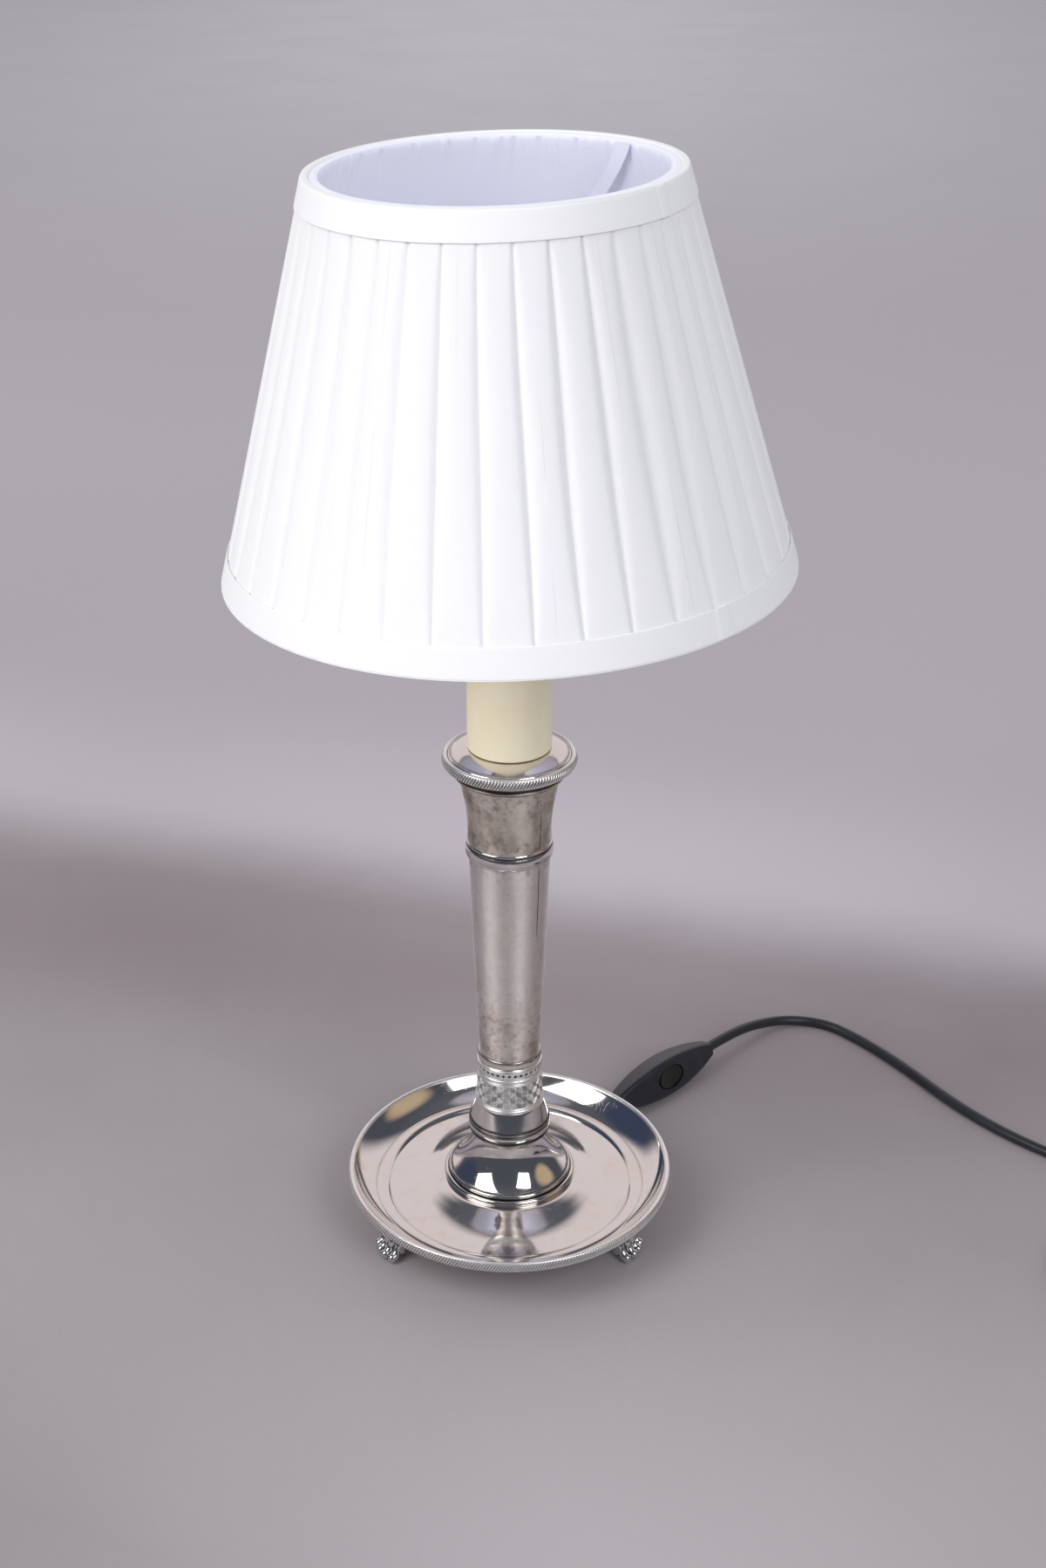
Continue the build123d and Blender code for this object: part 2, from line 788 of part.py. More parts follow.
with BuildPart() as shade_ring:
    with BuildSketch(Plane.XY.offset(clamp_level)):
        Circle(clamp_ring_radius)
        with PolarLocations(clamp_ring_radius + 0.5, clamp_ring_knurls):
            Circle(1.5, mode=Mode.SUBTRACT)
        Circle(holder_radius + running_gap, mode=Mode.SUBTRACT)
    extrude(amount=clamp_ring_height)
finish(shade_ring, "shade_ring")


# --- Bulb -----------------------------------------------------------------------------------

bulb_foot = insert_floor + 2.2 + running_gap
bulb_cap_top = bulb_foot + bulb_cap_height
bulb_centre = bulb_foot + bulb_length - bulb_radius
with BuildPart() as bulb_cap:
    with BuildSketch(Plane.XZ):
        with BuildLine():
            contour(
                (0, bulb_foot),
                (4.6, bulb_foot),
                (5.4, bulb_foot + 1.4),
                (bulb_cap_radius, bulb_foot + 5.0),
                (bulb_cap_radius, bulb_cap_top),
                (bulb_cap_radius - 1.2, bulb_cap_top),
                (bulb_cap_radius - 1.2, bulb_foot + 7.0),
                (0, bulb_foot + 7.0),
            )
        make_face()
    revolve(axis=Axis.Z)
finish(bulb_cap, "bulb_cap")

with BuildPart() as bulb_glass:
    with BuildSketch(Plane.XZ):
        with BuildLine():
            shoulder_angle = radians(32.0)

            def glass_line(wall):
                """Neck and globe of the glass, moved inwards by wall."""
                globe = bulb_radius - wall
                neck = bulb_neck_radius - wall
                join = (globe * cos(shoulder_angle), bulb_centre - globe * sin(shoulder_angle))
                Line((neck - 1.4, bulb_cap_top), (neck, bulb_cap_top + 3.0))
                ThreePointArc(
                    (neck, bulb_cap_top + 3.0),
                    ((neck + join[0]) / 2 - 1.2, (bulb_cap_top + 3.0 + join[1]) / 2 + 0.8),
                    join,
                )
                ThreePointArc(join, (globe, bulb_centre), (0, bulb_centre + globe))

            glass_line(0)
            glass_line(bulb_glass_wall)
            inner_top = bulb_centre + bulb_radius - bulb_glass_wall
            Line((0, inner_top), (0, bulb_centre + bulb_radius))
            foot = bulb_neck_radius - 1.4
            Line((foot - bulb_glass_wall, bulb_cap_top), (foot, bulb_cap_top))
        make_face()
    revolve(axis=Axis.Z)
finish(bulb_glass, "bulb_glass")


# --- Shade ----------------------------------------------------------------------------------
# Everything of the shade but its level fitter ring is laid out on the leaning axis.

def cone_radius(height):
    """Outside of the bound edges at a height up the slant."""
    return shade_bottom_radius - shade_slope * height


def on_shade(radius, height, azimuth):
    """Point on the leaning shade."""
    return shade_base.from_local_coords(
        (radius * cos(radians(azimuth)), radius * sin(radians(azimuth)), height)
    )


pleat_reach = binding + cloth_gap  # pleats' crowns under the bindings
lining_outside = pleat_reach + pleat_depth + cloth_gap
wire_inset = lining_outside + lining + cloth_gap + ring_wire
wire_low = binding + cloth_gap + ring_wire
wire_high = shade_height - wire_low
skin_foot = binding + cloth_gap
skin_head = shade_height - skin_foot


def shade_band(inset, thickness, low, high):
    """Conical band on the shade: inset from the outside, between two heights."""
    with BuildPart() as band:
        with BuildSketch(shade_profile):
            with BuildLine():
                contour(
                    (cone_radius(low) - inset, low),
                    (cone_radius(high) - inset, high),
                    (cone_radius(high) - inset - thickness, high),
                    (cone_radius(low) - inset - thickness, low),
                )
            make_face()
        revolve(axis=shade_axis)
    return band


fold_inset = wire_inset + ring_wire + cloth_gap


def bound_edge(edge, leg, fold):
    """Binding folded over an edge: outer leg, cap and inner leg. A leg is signed, up or down."""
    cap = edge + binding * (1 if leg > 0 else -1)
    inner = fold_inset
    with BuildPart() as band:
        with BuildSketch(shade_profile):
            with BuildLine():
                contour(
                    (cone_radius(edge), edge),
                    (cone_radius(edge + leg), edge + leg),
                    (cone_radius(edge + leg) - binding, edge + leg),
                    (cone_radius(cap) - binding, cap),
                    (cone_radius(cap) - inner, cap),
                    (cone_radius(edge + fold) - inner, edge + fold),
                    (cone_radius(edge + fold) - inner - binding, edge + fold),
                    (cone_radius(edge) - inner - binding, edge),
                )
            make_face()
        revolve(axis=shade_axis)
    return band


finish(bound_edge(shade_height, -top_binding_height, -binding_fold), "shade_top_trim")
finish(shade_band(lining_outside, lining, skin_foot, skin_head), "shade_lining")


def pleated_ring(height, depth):
    """Section through the pleats: a crease and two crown points for each."""
    outside = cone_radius(height) - pleat_reach
    step = 360 / pleat_count
    points = []
    for pleat in range(pleat_count):
        for share, fall in ((0.0, depth), (0.3, 0.12 * depth), (0.66, 0.0)):
            angle = radians((pleat + share) * step)
            points.append(((outside - fall) * cos(angle), (outside - fall) * sin(angle)))
    Polyline(points, close=True)


with BuildPart() as shade_pleats:
    full_low = bottom_binding_height * 3.0
    full_high = shade_height - top_binding_height * 3.0
    for height, depth in (
        (skin_foot, pleat_depth_at_trim),
        (full_low, pleat_depth),
        (full_high, pleat_depth),
        (skin_head, pleat_depth_at_trim),
    ):
        with BuildSketch(shade_base.offset(height)):
            with BuildLine():
                pleated_ring(height, depth * cone_radius(height) / shade_bottom_radius)
            make_face()
    loft(ruled=True)
    with BuildSketch(shade_base.offset(skin_foot)):
        Circle(cone_radius(skin_foot) - lining_outside + cloth_gap / 2)
    with BuildSketch(shade_base.offset(skin_head)):
        Circle(cone_radius(skin_head) - lining_outside + cloth_gap / 2)
    loft(ruled=True, mode=Mode.SUBTRACT)
finish(shade_pleats, "shade_pleats")


def shade_wire(height):
    """Wire ring of the shade's frame."""
    with BuildPart() as wire:
        with BuildSketch(shade_profile):
            with Locations((cone_radius(height) - wire_inset, height)):
                Circle(ring_wire)
        revolve(axis=shade_axis)
    return wire


shade_bottom_wire = shade_wire(wire_low)
shade_top_wire = shade_wire(wire_high)
finish(shade_bottom_wire, "shade_bottom_wire")
finish(shade_top_wire, "shade_top_wire")

with BuildPart() as shade_struts:
    for strut in range(strut_count):
        azimuth = 360 / strut_count * (strut + 0.5)
        foot = on_shade(cone_radius(wire_low) - wire_inset, wire_low, azimuth)
        head = on_shade(cone_radius(wire_high) - wire_inset, wire_high, azimuth)
        with BuildSketch(Plane(origin=foot, z_dir=head - foot)):
            Circle(strut_wire)
        extrude(amount=(head - foot).length)
    add(shade_bottom_wire.part, mode=Mode.SUBTRACT)
    add(shade_top_wire.part, mode=Mode.SUBTRACT)
finish(shade_struts, "shade_struts")

with BuildPart() as shade_fitter_ring:
    with BuildSketch(Plane.XY.offset(fitter_level)):
        Circle(fitter_radius)
        Circle(fitter_bore, mode=Mode.SUBTRACT)
    extrude(amount=fitter_height)
finish(shade_fitter_ring, "shade_fitter_ring")


def arms(radius):
    """Straight arms from the fitter ring's underside to the bottom wire."""
    with BuildPart() as spokes:
        for arm in range(arm_count):
            azimuth = arm_azimuth + 360 / arm_count * arm
            reach = fitter_radius - arm_wire
            inner = Vector(
                reach * cos(radians(azimuth)),
                reach * sin(radians(azimuth)),
                fitter_level - arm_wire + 0.3,
            )
            outer = on_shade(cone_radius(wire_low) - wire_inset, wire_low, azimuth)
            with BuildSketch(Plane(origin=inner, z_dir=outer - inner)):
                Circle(radius)
            extrude(amount=(outer - inner).length)
    return spokes


with BuildPart() as shade_arms:
    add(arms(arm_wire).part)
    add(shade_fitter_ring.part, mode=Mode.SUBTRACT)
    add(shade_bottom_wire.part, mode=Mode.SUBTRACT)
finish(shade_arms, "shade_arms")

# The arms pass through holes in the fold of the bottom binding.
with BuildPart() as shade_bottom_trim:
    add(bound_edge(0, bottom_binding_height, binding_fold).part)
    add(arms(arm_wire + cloth_gap).part, mode=Mode.SUBTRACT)
finish(shade_bottom_trim, "shade_bottom_trim")


def tape_point(level, inset, azimuth):
    """Point inside the shade for the loose tape."""
    return on_shade(cone_radius(level) - inset, level, azimuth)


tape_level = shade_height - binding
tape_half = 0.5 * tape_width / cone_radius(tape_level) * 180 / pi * 1.1
tape_inset = fold_inset + binding + 0.02
tape_head = tape_point(tape_level, tape_inset, tape_azimuth - tape_half)
tape_side = tape_point(tape_level, tape_inset, tape_azimuth + tape_half)
tape_tail = tape_point(tape_level - tape_drop, tape_inset + 4.0, tape_azimuth + tape_swing)
tape_plane = Plane(
    origin=tape_head,
    x_dir=tape_side - tape_head,
    z_dir=(tape_side - tape_head).cross(tape_tail - tape_head),
)
with BuildPart() as lining_tape:
    with BuildSketch(tape_plane):
        with BuildLine():
            side = tape_plane.to_local_coords(tape_side)
            tail = tape_plane.to_local_coords(tape_tail)
            Polyline(
                (0, 0), (side.X, 0), (tail.X + side.X, tail.Y + 1.5), (tail.X, tail.Y), close=True
            )
        make_face()
    extrude(amount=tape_sheet)
finish(lining_tape, "lining_tape")


# --- Switch on the lead ---------------------------------------------------------------------

roll = radians(switch_roll)
switch_along = Vector(cos(radians(switch_azimuth)), sin(radians(switch_azimuth)))
switch_front = Vector(switch_along.Y, -switch_along.X)
switch_face = switch_front * sin(roll) + Vector(0, 0, cos(roll))
switch_rest = (
    (switch_width / 2 - switch_edge_fillet) * sin(roll)
    + (switch_half_thickness - switch_edge_fillet) * cos(roll)
    + switch_edge_fillet
)
switch_plane = Plane(
    origin=(switch_centre[0], switch_centre[1], switch_rest), x_dir=switch_along, z_dir=switch_face
)
switch_side = Plane(
    origin=switch_plane.origin, x_dir=switch_along, z_dir=switch_plane.y_dir * -1
)


def switch_outline():
    """Plan of the case: two long arcs between short flat ends."""
    half, end = switch_length / 2, switch_end_width / 2
    ThreePointArc((-half, end), (0, switch_width / 2), (half, end))
    Line((half, end), (half, -end))
    ThreePointArc((half, -end), (0, -switch_width / 2), (-half, -end))
    Line((-half, -end), (-half, end))


def switch_half(side):
    """One half of the case, thickest in the middle: side 1 is the rocker's, -1 the back."""
    half = switch_length / 2
    with BuildPart() as shell:
        with BuildSketch(switch_plane):
            with BuildLine():
                switch_outline()
            make_face()
        extrude(amount=switch_half_thickness * side)
        with BuildSketch(switch_side):
            with BuildLine():
                contour(
                    (-half, 0),
                    (-half, switch_end_thickness * side),
                    ((0, switch_half_thickness * side), (half, switch_end_thickness * side)),
                    (half, 0),
                )
            make_face()
        extrude(amount=switch_width, both=True, mode=Mode.INTERSECT)
        long_edges = shell.edges().filter_by(
            lambda edge: edge.length > switch_length * 0.9
            and abs(switch_plane.to_local_coords(edge.center()).Z) > switch_end_thickness
        )
        fillet(long_edges, radius=switch_edge_fillet)
    return shell


pocket_floor = switch_half_thickness - pocket_depth
rocker_pivot = switch_half_thickness - rocker_pivot_depth
pivot_line = Plane(
    origin=switch_plane.from_local_coords((0, 0, rocker_pivot)),
    x_dir=switch_along,
    z_dir=switch_plane.y_dir,
)
with BuildPart() as switch_case_top:
    add(switch_half(1).part)
    with BuildSketch(switch_plane.offset(pocket_floor)):
        Ellipse(rocker_length / 2 + rocker_gap, rocker_width / 2 + rocker_gap)
    extrude(amount=switch_half_thickness, mode=Mode.SUBTRACT)
    with BuildSketch(pivot_line):
        Circle(rocker_pin_radius + 0.05)
    extrude(amount=rocker_width / 2 + rocker_pin_reach + 0.2, both=True, mode=Mode.SUBTRACT)
finish(switch_case_top, "switch_case_top")

with BuildPart() as switch_case_bottom:
    add(switch_half(-1).part)
    with BuildSketch(switch_plane.offset(-switch_half_thickness - 1)):
        with GridLocations(switch_screw_spacing, 1, 2, 1):
            Circle(switch_screw_radius + 0.25)
    extrude(amount=4.4, mode=Mode.SUBTRACT)
finish(switch_case_bottom, "switch_case_bottom")

with BuildPart() as switch_screws:
    screw_top = -switch_half_thickness - 1 + 4.4
    with BuildSketch(switch_plane.offset(screw_top)):
        with GridLocations(switch_screw_spacing, 1, 2, 1):
            Circle(switch_screw_radius)
    extrude(amount=-1.6)
    with BuildSketch(switch_plane.offset(screw_top - 1.6)):
        with GridLocations(switch_screw_spacing, 1, 2, 1):
            Rectangle(switch_screw_radius * 1.7, 0.5)
    extrude(amount=0.6, mode=Mode.SUBTRACT)
finish(switch_screws, "switch_screws")

rocker_rise = rocker_length / 2 * tan(radians(rocker_swing / 2))  # of the end that is up
with BuildPart() as switch_rocker:
    with BuildSketch(switch_plane.offset(pocket_floor)):
        Ellipse(rocker_length / 2, rocker_width / 2)
    extrude(amount=switch_half_thickness)
    with BuildSketch(switch_side):
        with BuildLine():
            reach = rocker_length / 2 + 0.2
            top, low = switch_half_thickness, rocker_pivot - 1.8
            contour(
                (-reach, low + rocker_rise),
                (-reach, top + rocker_rise),
                ((0, top - rocker_hollow), (reach, top - rocker_rise)),
                (reach, low - rocker_rise),
            )
        make_face()
    extrude(amount=rocker_width, both=True, mode=Mode.INTERSECT)
    with BuildSketch(pivot_line):
        Circle(rocker_pin_radius)
    extrude(amount=rocker_width / 2 + rocker_pin_reach, both=True)
finish(switch_rocker, "switch_rocker")


# --- The lead ------------------------------------------------------------------------------

def route_radii(points):
    """Radius of the arc at each corner: as large as its two runs allow."""
    radii = []
    for before, corner, after in zip(points, points[1:], points[2:]):
        run_in, run_out = corner - before, after - corner
        turn = radians(run_in.get_angle(run_out))
        radii.append(0.45 * min(run_in.length, run_out.length) / tan(turn / 2))
    return radii


def lead_along(points, label):
    """Round lead of straight runs and tangent arcs; prints its radii, length and volume."""
    points = [Vector(*point) for point in points]
    radii = route_radii(points)
    with BuildPart() as lead:
        with BuildLine() as path:
            FilletPolyline(*points, radius=radii)
        with BuildSketch(Plane(origin=points[0], z_dir=points[1] - points[0])):
            Circle(cord_diameter / 2)
        sweep()
    length = path.wire().length
    section = pi * cord_diameter**2 / 4
    print(label, "radii", [round(r, 1) for r in radii], "length", round(length, 1))
    print(label, "volume over section x length", round(lead.part.volume / (section * length), 4))
    finish(lead, label)
    return length


switch_in = switch_plane.from_local_coords((-switch_length / 2, 0, 0))
switch_out = switch_plane.from_local_coords((switch_length / 2, 0, 0))
leaving = relief_tip + outlet_direction * end_run
arriving = switch_in - switch_along * end_run
between = [
    Vector(leaving.X, leaving.Y) * (1 - share) + Vector(arriving.X, arriving.Y) * share + (0, 0, height)
    for share, height in route_to_switch
]
lead_length = lead_along([relief_tip, leaving, *between, arriving, switch_in], "cord_to_switch")

table_points = [switch_out, switch_out + switch_along * out_run, *route_on_table]
table_points.append((coil_start[0], coil_start[1], cord_level))
lead_length += lead_along(table_points, "cord_from_switch")

# Coil: spiral in on the table, half a turn up, spiral out on top, clockwise from above
coil_quarter_step = coil_pitch / 4
straight_end = cord_diameter
with BuildPart() as cord_coil:
    with BuildLine() as coil_path:
        level = cord_level
        radius = coil_outer
        angle = 0.0
        centre = Vector(coil_start[0] - coil_outer, coil_start[1] - straight_end, level)
        here = Vector(coil_start[0], coil_start[1] - straight_end, level)
        Line((coil_start[0], coil_start[1], level), here)
        for layer, step in (("in", -coil_quarter_step), ("out", coil_quarter_step)):
            for quarter in range(coil_quarters):
                halfway = Vector(cos(radians(angle - 45)), sin(radians(angle - 45)))
                end = Vector(cos(radians(angle - 90)), sin(radians(angle - 90)))
                ThreePointArc(here, centre + halfway * radius, centre + end * radius)
                here = centre + end * radius
                centre = centre - end * step
                radius += step
                angle -= 90
            if layer == "in":
                across = Vector(cos(radians(angle)), sin(radians(angle)))
                aside = Vector(cos(radians(angle - 90)), sin(radians(angle - 90)))
                top = centre - across * radius + Vector(0, 0, coil_pitch)
                middle = centre + aside * sqrt(radius**2 + coil_pitch**2 / 4)
                middle = middle + Vector(0, 0, coil_pitch / 2)
                ThreePointArc(here, middle, top)
                here = top
                angle -= 180
                centre = centre + across * coil_quarter_step + Vector(0, 0, coil_pitch)
                radius += coil_quarter_step
        coil_end = here - Vector(0, straight_end, 0)
        Line(here, coil_end)
    with BuildSketch(Plane(origin=(coil_start[0], coil_start[1], cord_level), z_dir=(0, -1, 0))):
        Circle(cord_diameter / 2)
    sweep()
finish(cord_coil, "cord_coil")

coil_wire = coil_path.wire()
coil_length = coil_wire.length
lead_length += coil_length
sample_count = 900
samples = [coil_wire.position_at(k / sample_count) for k in range(sample_count + 1)]
spacing = coil_length / sample_count
skip = int(pi * coil_outer / 2 / spacing)
least = min(
    (samples[a] - samples[b]).length
    for a in range(0, sample_count, 3)
    for b in range(a + skip, sample_count, 2)
)
section = pi * cord_diameter**2 / 4
print("cord_coil length", round(coil_length, 1), "least gap to itself", round(least - cord_diameter, 2))
print("cord_coil volume over section x length", round(cord_coil.part.volume / (section * coil_length), 4))

plug_axis = plug_thickness / 2
tail_points = [
    coil_end,
    (coil_end.X, coil_end.Y - tail_length * 0.32, coil_end.Z),
    (coil_end.X, coil_end.Y - tail_length * 0.68, plug_axis),
    (coil_end.X, coil_end.Y - tail_length, plug_axis),
]
lead_length += lead_along(tail_points, "cord_tail")
print("free lead in all", round(lead_length, 1))
print("rocker pivot", pivot_line.origin, "along", pivot_line.z_dir)


# --- Plug -----------------------------------------------------------------------------------

plug_plane = Plane(
    origin=(coil_end.X, coil_end.Y - tail_length, plug_axis), x_dir=(1, 0, 0), z_dir=(0, -1, 0)
)
with BuildPart() as plug_relief:
    with BuildSketch(plug_plane):
        Circle(cord_diameter / 2 + 0.7)
    with BuildSketch(plug_plane.offset(plug_relief_length)):
        Circle(plug_relief_radius)
    loft()
finish(plug_relief, "plug_relief")

plug_rear = plug_plane.offset(plug_relief_length)
plug_face = plug_rear.offset(plug_length)
with BuildPart() as plug_body:
    plan = Plane(origin=plug_rear.origin, x_dir=(1, 0, 0), z_dir=(0, 0, 1))
    with BuildSketch(plan.offset(-plug_thickness / 2)):
        with BuildLine():
            Polyline(
                (-plug_neck_width / 2, 0),
                (plug_neck_width / 2, 0),
                (plug_width / 2, -plug_length * 0.42),
                (plug_width / 2, -plug_length),
                (-plug_width / 2, -plug_length),
                (-plug_width / 2, -plug_length * 0.42),
                close=True,
            )
        make_face()
    extrude(amount=plug_thickness)
    fillet(plug_body.edges().filter_by(Axis.Z).group_by(Axis.Y)[-1], radius=3.0)
    fillet(plug_body.edges().filter_by(Axis.Z).group_by(Axis.Y)[0], radius=2.5)
    fillet(plug_body.edges().group_by(Axis.Z)[-1], radius=1.2)
    fillet(plug_body.edges().group_by(Axis.Z)[0], radius=1.2)
finish(plug_body, "plug_body")

with BuildPart() as plug_pins:
    with BuildSketch(plug_face):
        with GridLocations(pin_spacing, 1, 2, 1):
            Circle(pin_radius)
    extrude(amount=pin_length)
    fillet(plug_pins.edges().filter_by(GeomType.CIRCLE).group_by(Axis.Y)[0], radius=1.2)
finish(plug_pins, "plug_pins")
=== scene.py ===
# Candlestick table lamp: silver-plated dish on paws, brushed column, candle sleeve, pleated shade.
# Millimetres in the dictionaries, metres in Blender; -Y is the front, the column stands on Z.
import json
import math

import bpy
import numpy as np
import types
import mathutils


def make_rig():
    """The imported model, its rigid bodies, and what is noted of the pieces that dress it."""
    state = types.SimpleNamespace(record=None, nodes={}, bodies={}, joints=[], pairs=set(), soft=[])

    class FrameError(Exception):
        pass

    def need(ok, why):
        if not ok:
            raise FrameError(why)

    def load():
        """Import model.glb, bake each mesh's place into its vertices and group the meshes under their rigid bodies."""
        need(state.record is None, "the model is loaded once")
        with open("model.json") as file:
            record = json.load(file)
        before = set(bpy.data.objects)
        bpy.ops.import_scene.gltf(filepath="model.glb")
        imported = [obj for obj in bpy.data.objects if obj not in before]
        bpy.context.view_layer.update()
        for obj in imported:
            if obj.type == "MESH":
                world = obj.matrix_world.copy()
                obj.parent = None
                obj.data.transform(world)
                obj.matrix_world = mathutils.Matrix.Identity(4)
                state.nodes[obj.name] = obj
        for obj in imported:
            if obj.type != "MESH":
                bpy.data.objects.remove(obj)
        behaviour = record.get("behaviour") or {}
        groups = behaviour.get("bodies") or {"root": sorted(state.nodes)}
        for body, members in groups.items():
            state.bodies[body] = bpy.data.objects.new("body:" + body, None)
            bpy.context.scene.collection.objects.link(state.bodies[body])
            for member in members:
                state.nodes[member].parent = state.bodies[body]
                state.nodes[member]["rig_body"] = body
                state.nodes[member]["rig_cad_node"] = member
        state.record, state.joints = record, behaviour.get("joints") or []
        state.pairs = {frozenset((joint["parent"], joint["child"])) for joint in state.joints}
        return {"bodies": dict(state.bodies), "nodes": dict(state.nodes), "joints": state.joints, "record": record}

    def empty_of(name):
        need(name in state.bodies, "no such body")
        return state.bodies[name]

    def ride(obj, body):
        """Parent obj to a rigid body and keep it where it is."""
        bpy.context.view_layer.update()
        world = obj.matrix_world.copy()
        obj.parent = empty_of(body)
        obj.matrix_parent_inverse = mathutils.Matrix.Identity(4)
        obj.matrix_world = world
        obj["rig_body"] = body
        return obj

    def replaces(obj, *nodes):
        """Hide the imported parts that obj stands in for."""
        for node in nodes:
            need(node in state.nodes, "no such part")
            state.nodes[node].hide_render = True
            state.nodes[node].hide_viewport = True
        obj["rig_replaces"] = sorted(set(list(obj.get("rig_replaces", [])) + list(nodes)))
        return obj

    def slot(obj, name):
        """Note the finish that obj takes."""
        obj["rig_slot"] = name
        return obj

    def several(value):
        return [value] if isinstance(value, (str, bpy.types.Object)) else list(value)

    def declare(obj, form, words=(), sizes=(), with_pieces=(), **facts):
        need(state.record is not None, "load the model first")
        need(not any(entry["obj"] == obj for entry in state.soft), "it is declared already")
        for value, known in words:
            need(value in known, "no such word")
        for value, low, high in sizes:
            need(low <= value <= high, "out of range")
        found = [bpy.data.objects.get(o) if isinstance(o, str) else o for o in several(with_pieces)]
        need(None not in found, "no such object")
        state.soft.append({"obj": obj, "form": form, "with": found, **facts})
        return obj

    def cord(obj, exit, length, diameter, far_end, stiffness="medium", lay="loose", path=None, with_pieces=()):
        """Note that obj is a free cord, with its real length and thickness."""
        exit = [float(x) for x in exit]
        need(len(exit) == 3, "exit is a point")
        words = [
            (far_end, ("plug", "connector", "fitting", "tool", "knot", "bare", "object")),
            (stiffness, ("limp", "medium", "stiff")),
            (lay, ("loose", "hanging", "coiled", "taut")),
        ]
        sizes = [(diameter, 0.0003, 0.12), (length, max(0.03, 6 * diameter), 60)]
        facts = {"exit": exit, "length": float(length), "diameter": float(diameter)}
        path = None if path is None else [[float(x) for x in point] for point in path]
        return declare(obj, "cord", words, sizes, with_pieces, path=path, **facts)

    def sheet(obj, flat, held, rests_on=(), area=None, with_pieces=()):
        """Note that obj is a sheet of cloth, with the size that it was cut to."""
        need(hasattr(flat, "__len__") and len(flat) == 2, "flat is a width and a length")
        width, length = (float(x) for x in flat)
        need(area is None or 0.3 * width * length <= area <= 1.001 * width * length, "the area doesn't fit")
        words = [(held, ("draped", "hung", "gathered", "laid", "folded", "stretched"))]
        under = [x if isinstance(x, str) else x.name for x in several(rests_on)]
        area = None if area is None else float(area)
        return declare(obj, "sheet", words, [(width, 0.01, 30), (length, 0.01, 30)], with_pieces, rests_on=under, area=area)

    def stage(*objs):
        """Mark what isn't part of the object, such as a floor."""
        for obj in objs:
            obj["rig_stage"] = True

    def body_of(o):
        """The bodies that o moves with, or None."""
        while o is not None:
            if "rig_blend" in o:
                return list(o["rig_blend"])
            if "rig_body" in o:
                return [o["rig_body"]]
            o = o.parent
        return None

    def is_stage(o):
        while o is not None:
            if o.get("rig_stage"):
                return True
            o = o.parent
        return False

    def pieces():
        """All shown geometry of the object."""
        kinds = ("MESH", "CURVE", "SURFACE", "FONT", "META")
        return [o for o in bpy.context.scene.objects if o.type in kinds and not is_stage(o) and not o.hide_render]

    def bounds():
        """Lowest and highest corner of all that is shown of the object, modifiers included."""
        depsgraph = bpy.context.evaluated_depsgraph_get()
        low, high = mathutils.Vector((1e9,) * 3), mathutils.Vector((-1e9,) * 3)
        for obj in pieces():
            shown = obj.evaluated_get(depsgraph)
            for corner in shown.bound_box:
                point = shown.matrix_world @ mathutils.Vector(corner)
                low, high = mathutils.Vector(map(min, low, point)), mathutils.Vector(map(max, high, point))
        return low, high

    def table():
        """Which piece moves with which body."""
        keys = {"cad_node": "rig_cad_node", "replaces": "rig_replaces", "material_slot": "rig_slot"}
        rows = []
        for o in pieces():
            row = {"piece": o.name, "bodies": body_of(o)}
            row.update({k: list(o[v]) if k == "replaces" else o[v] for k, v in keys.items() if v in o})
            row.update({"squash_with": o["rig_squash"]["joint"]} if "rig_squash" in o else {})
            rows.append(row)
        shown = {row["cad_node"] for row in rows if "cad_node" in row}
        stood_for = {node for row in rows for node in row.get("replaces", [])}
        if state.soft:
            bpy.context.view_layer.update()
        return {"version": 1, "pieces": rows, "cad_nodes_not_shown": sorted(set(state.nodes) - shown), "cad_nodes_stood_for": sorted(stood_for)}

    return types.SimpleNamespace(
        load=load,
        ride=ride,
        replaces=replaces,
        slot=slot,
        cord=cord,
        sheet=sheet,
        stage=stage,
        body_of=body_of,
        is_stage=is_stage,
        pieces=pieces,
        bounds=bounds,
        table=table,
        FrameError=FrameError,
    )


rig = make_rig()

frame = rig.load()
nodes = frame["nodes"]
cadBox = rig.bounds()
mm = 0.001
turn = 2 * math.pi
rng = np.random.default_rng(7)


# An outline in (r, z): a step is a point reached by a line, or a pair of points, an arc through
# the first to the second. Corners sharper than 25 degrees get a small round of the given edge.
def outline(start, *steps, edge=0.22, pitch=1.2, closed=True):
    points, corner, here = [np.array(start, float)], [True], np.array(start, float)
    if closed:
        steps = steps + (start,)
    for step in steps:
        if isinstance(step[0], tuple):
            middle, end = np.array(step[0], float), np.array(step[1], float)
            run = arcPoints(here, middle, end)
        else:
            end = np.array(step, float)
            length = np.linalg.norm(end - here)
            count = max(1, int(math.ceil(length / pitch)))
            share = np.linspace(0, 1, count + 1)
            if length > 3 * edge and count < 4:
                share = np.unique(np.concatenate([share, [2 * edge / length, 1 - 2 * edge / length]]))
            run = here + share[:, None] * (end - here)
        points.extend(run[1:])
        corner.extend([False] * (len(run) - 2) + [True])
        here = end
    if closed:
        points.pop()
        corner.pop()
    return roundCorners(np.array(points), np.array(corner), edge, closed)


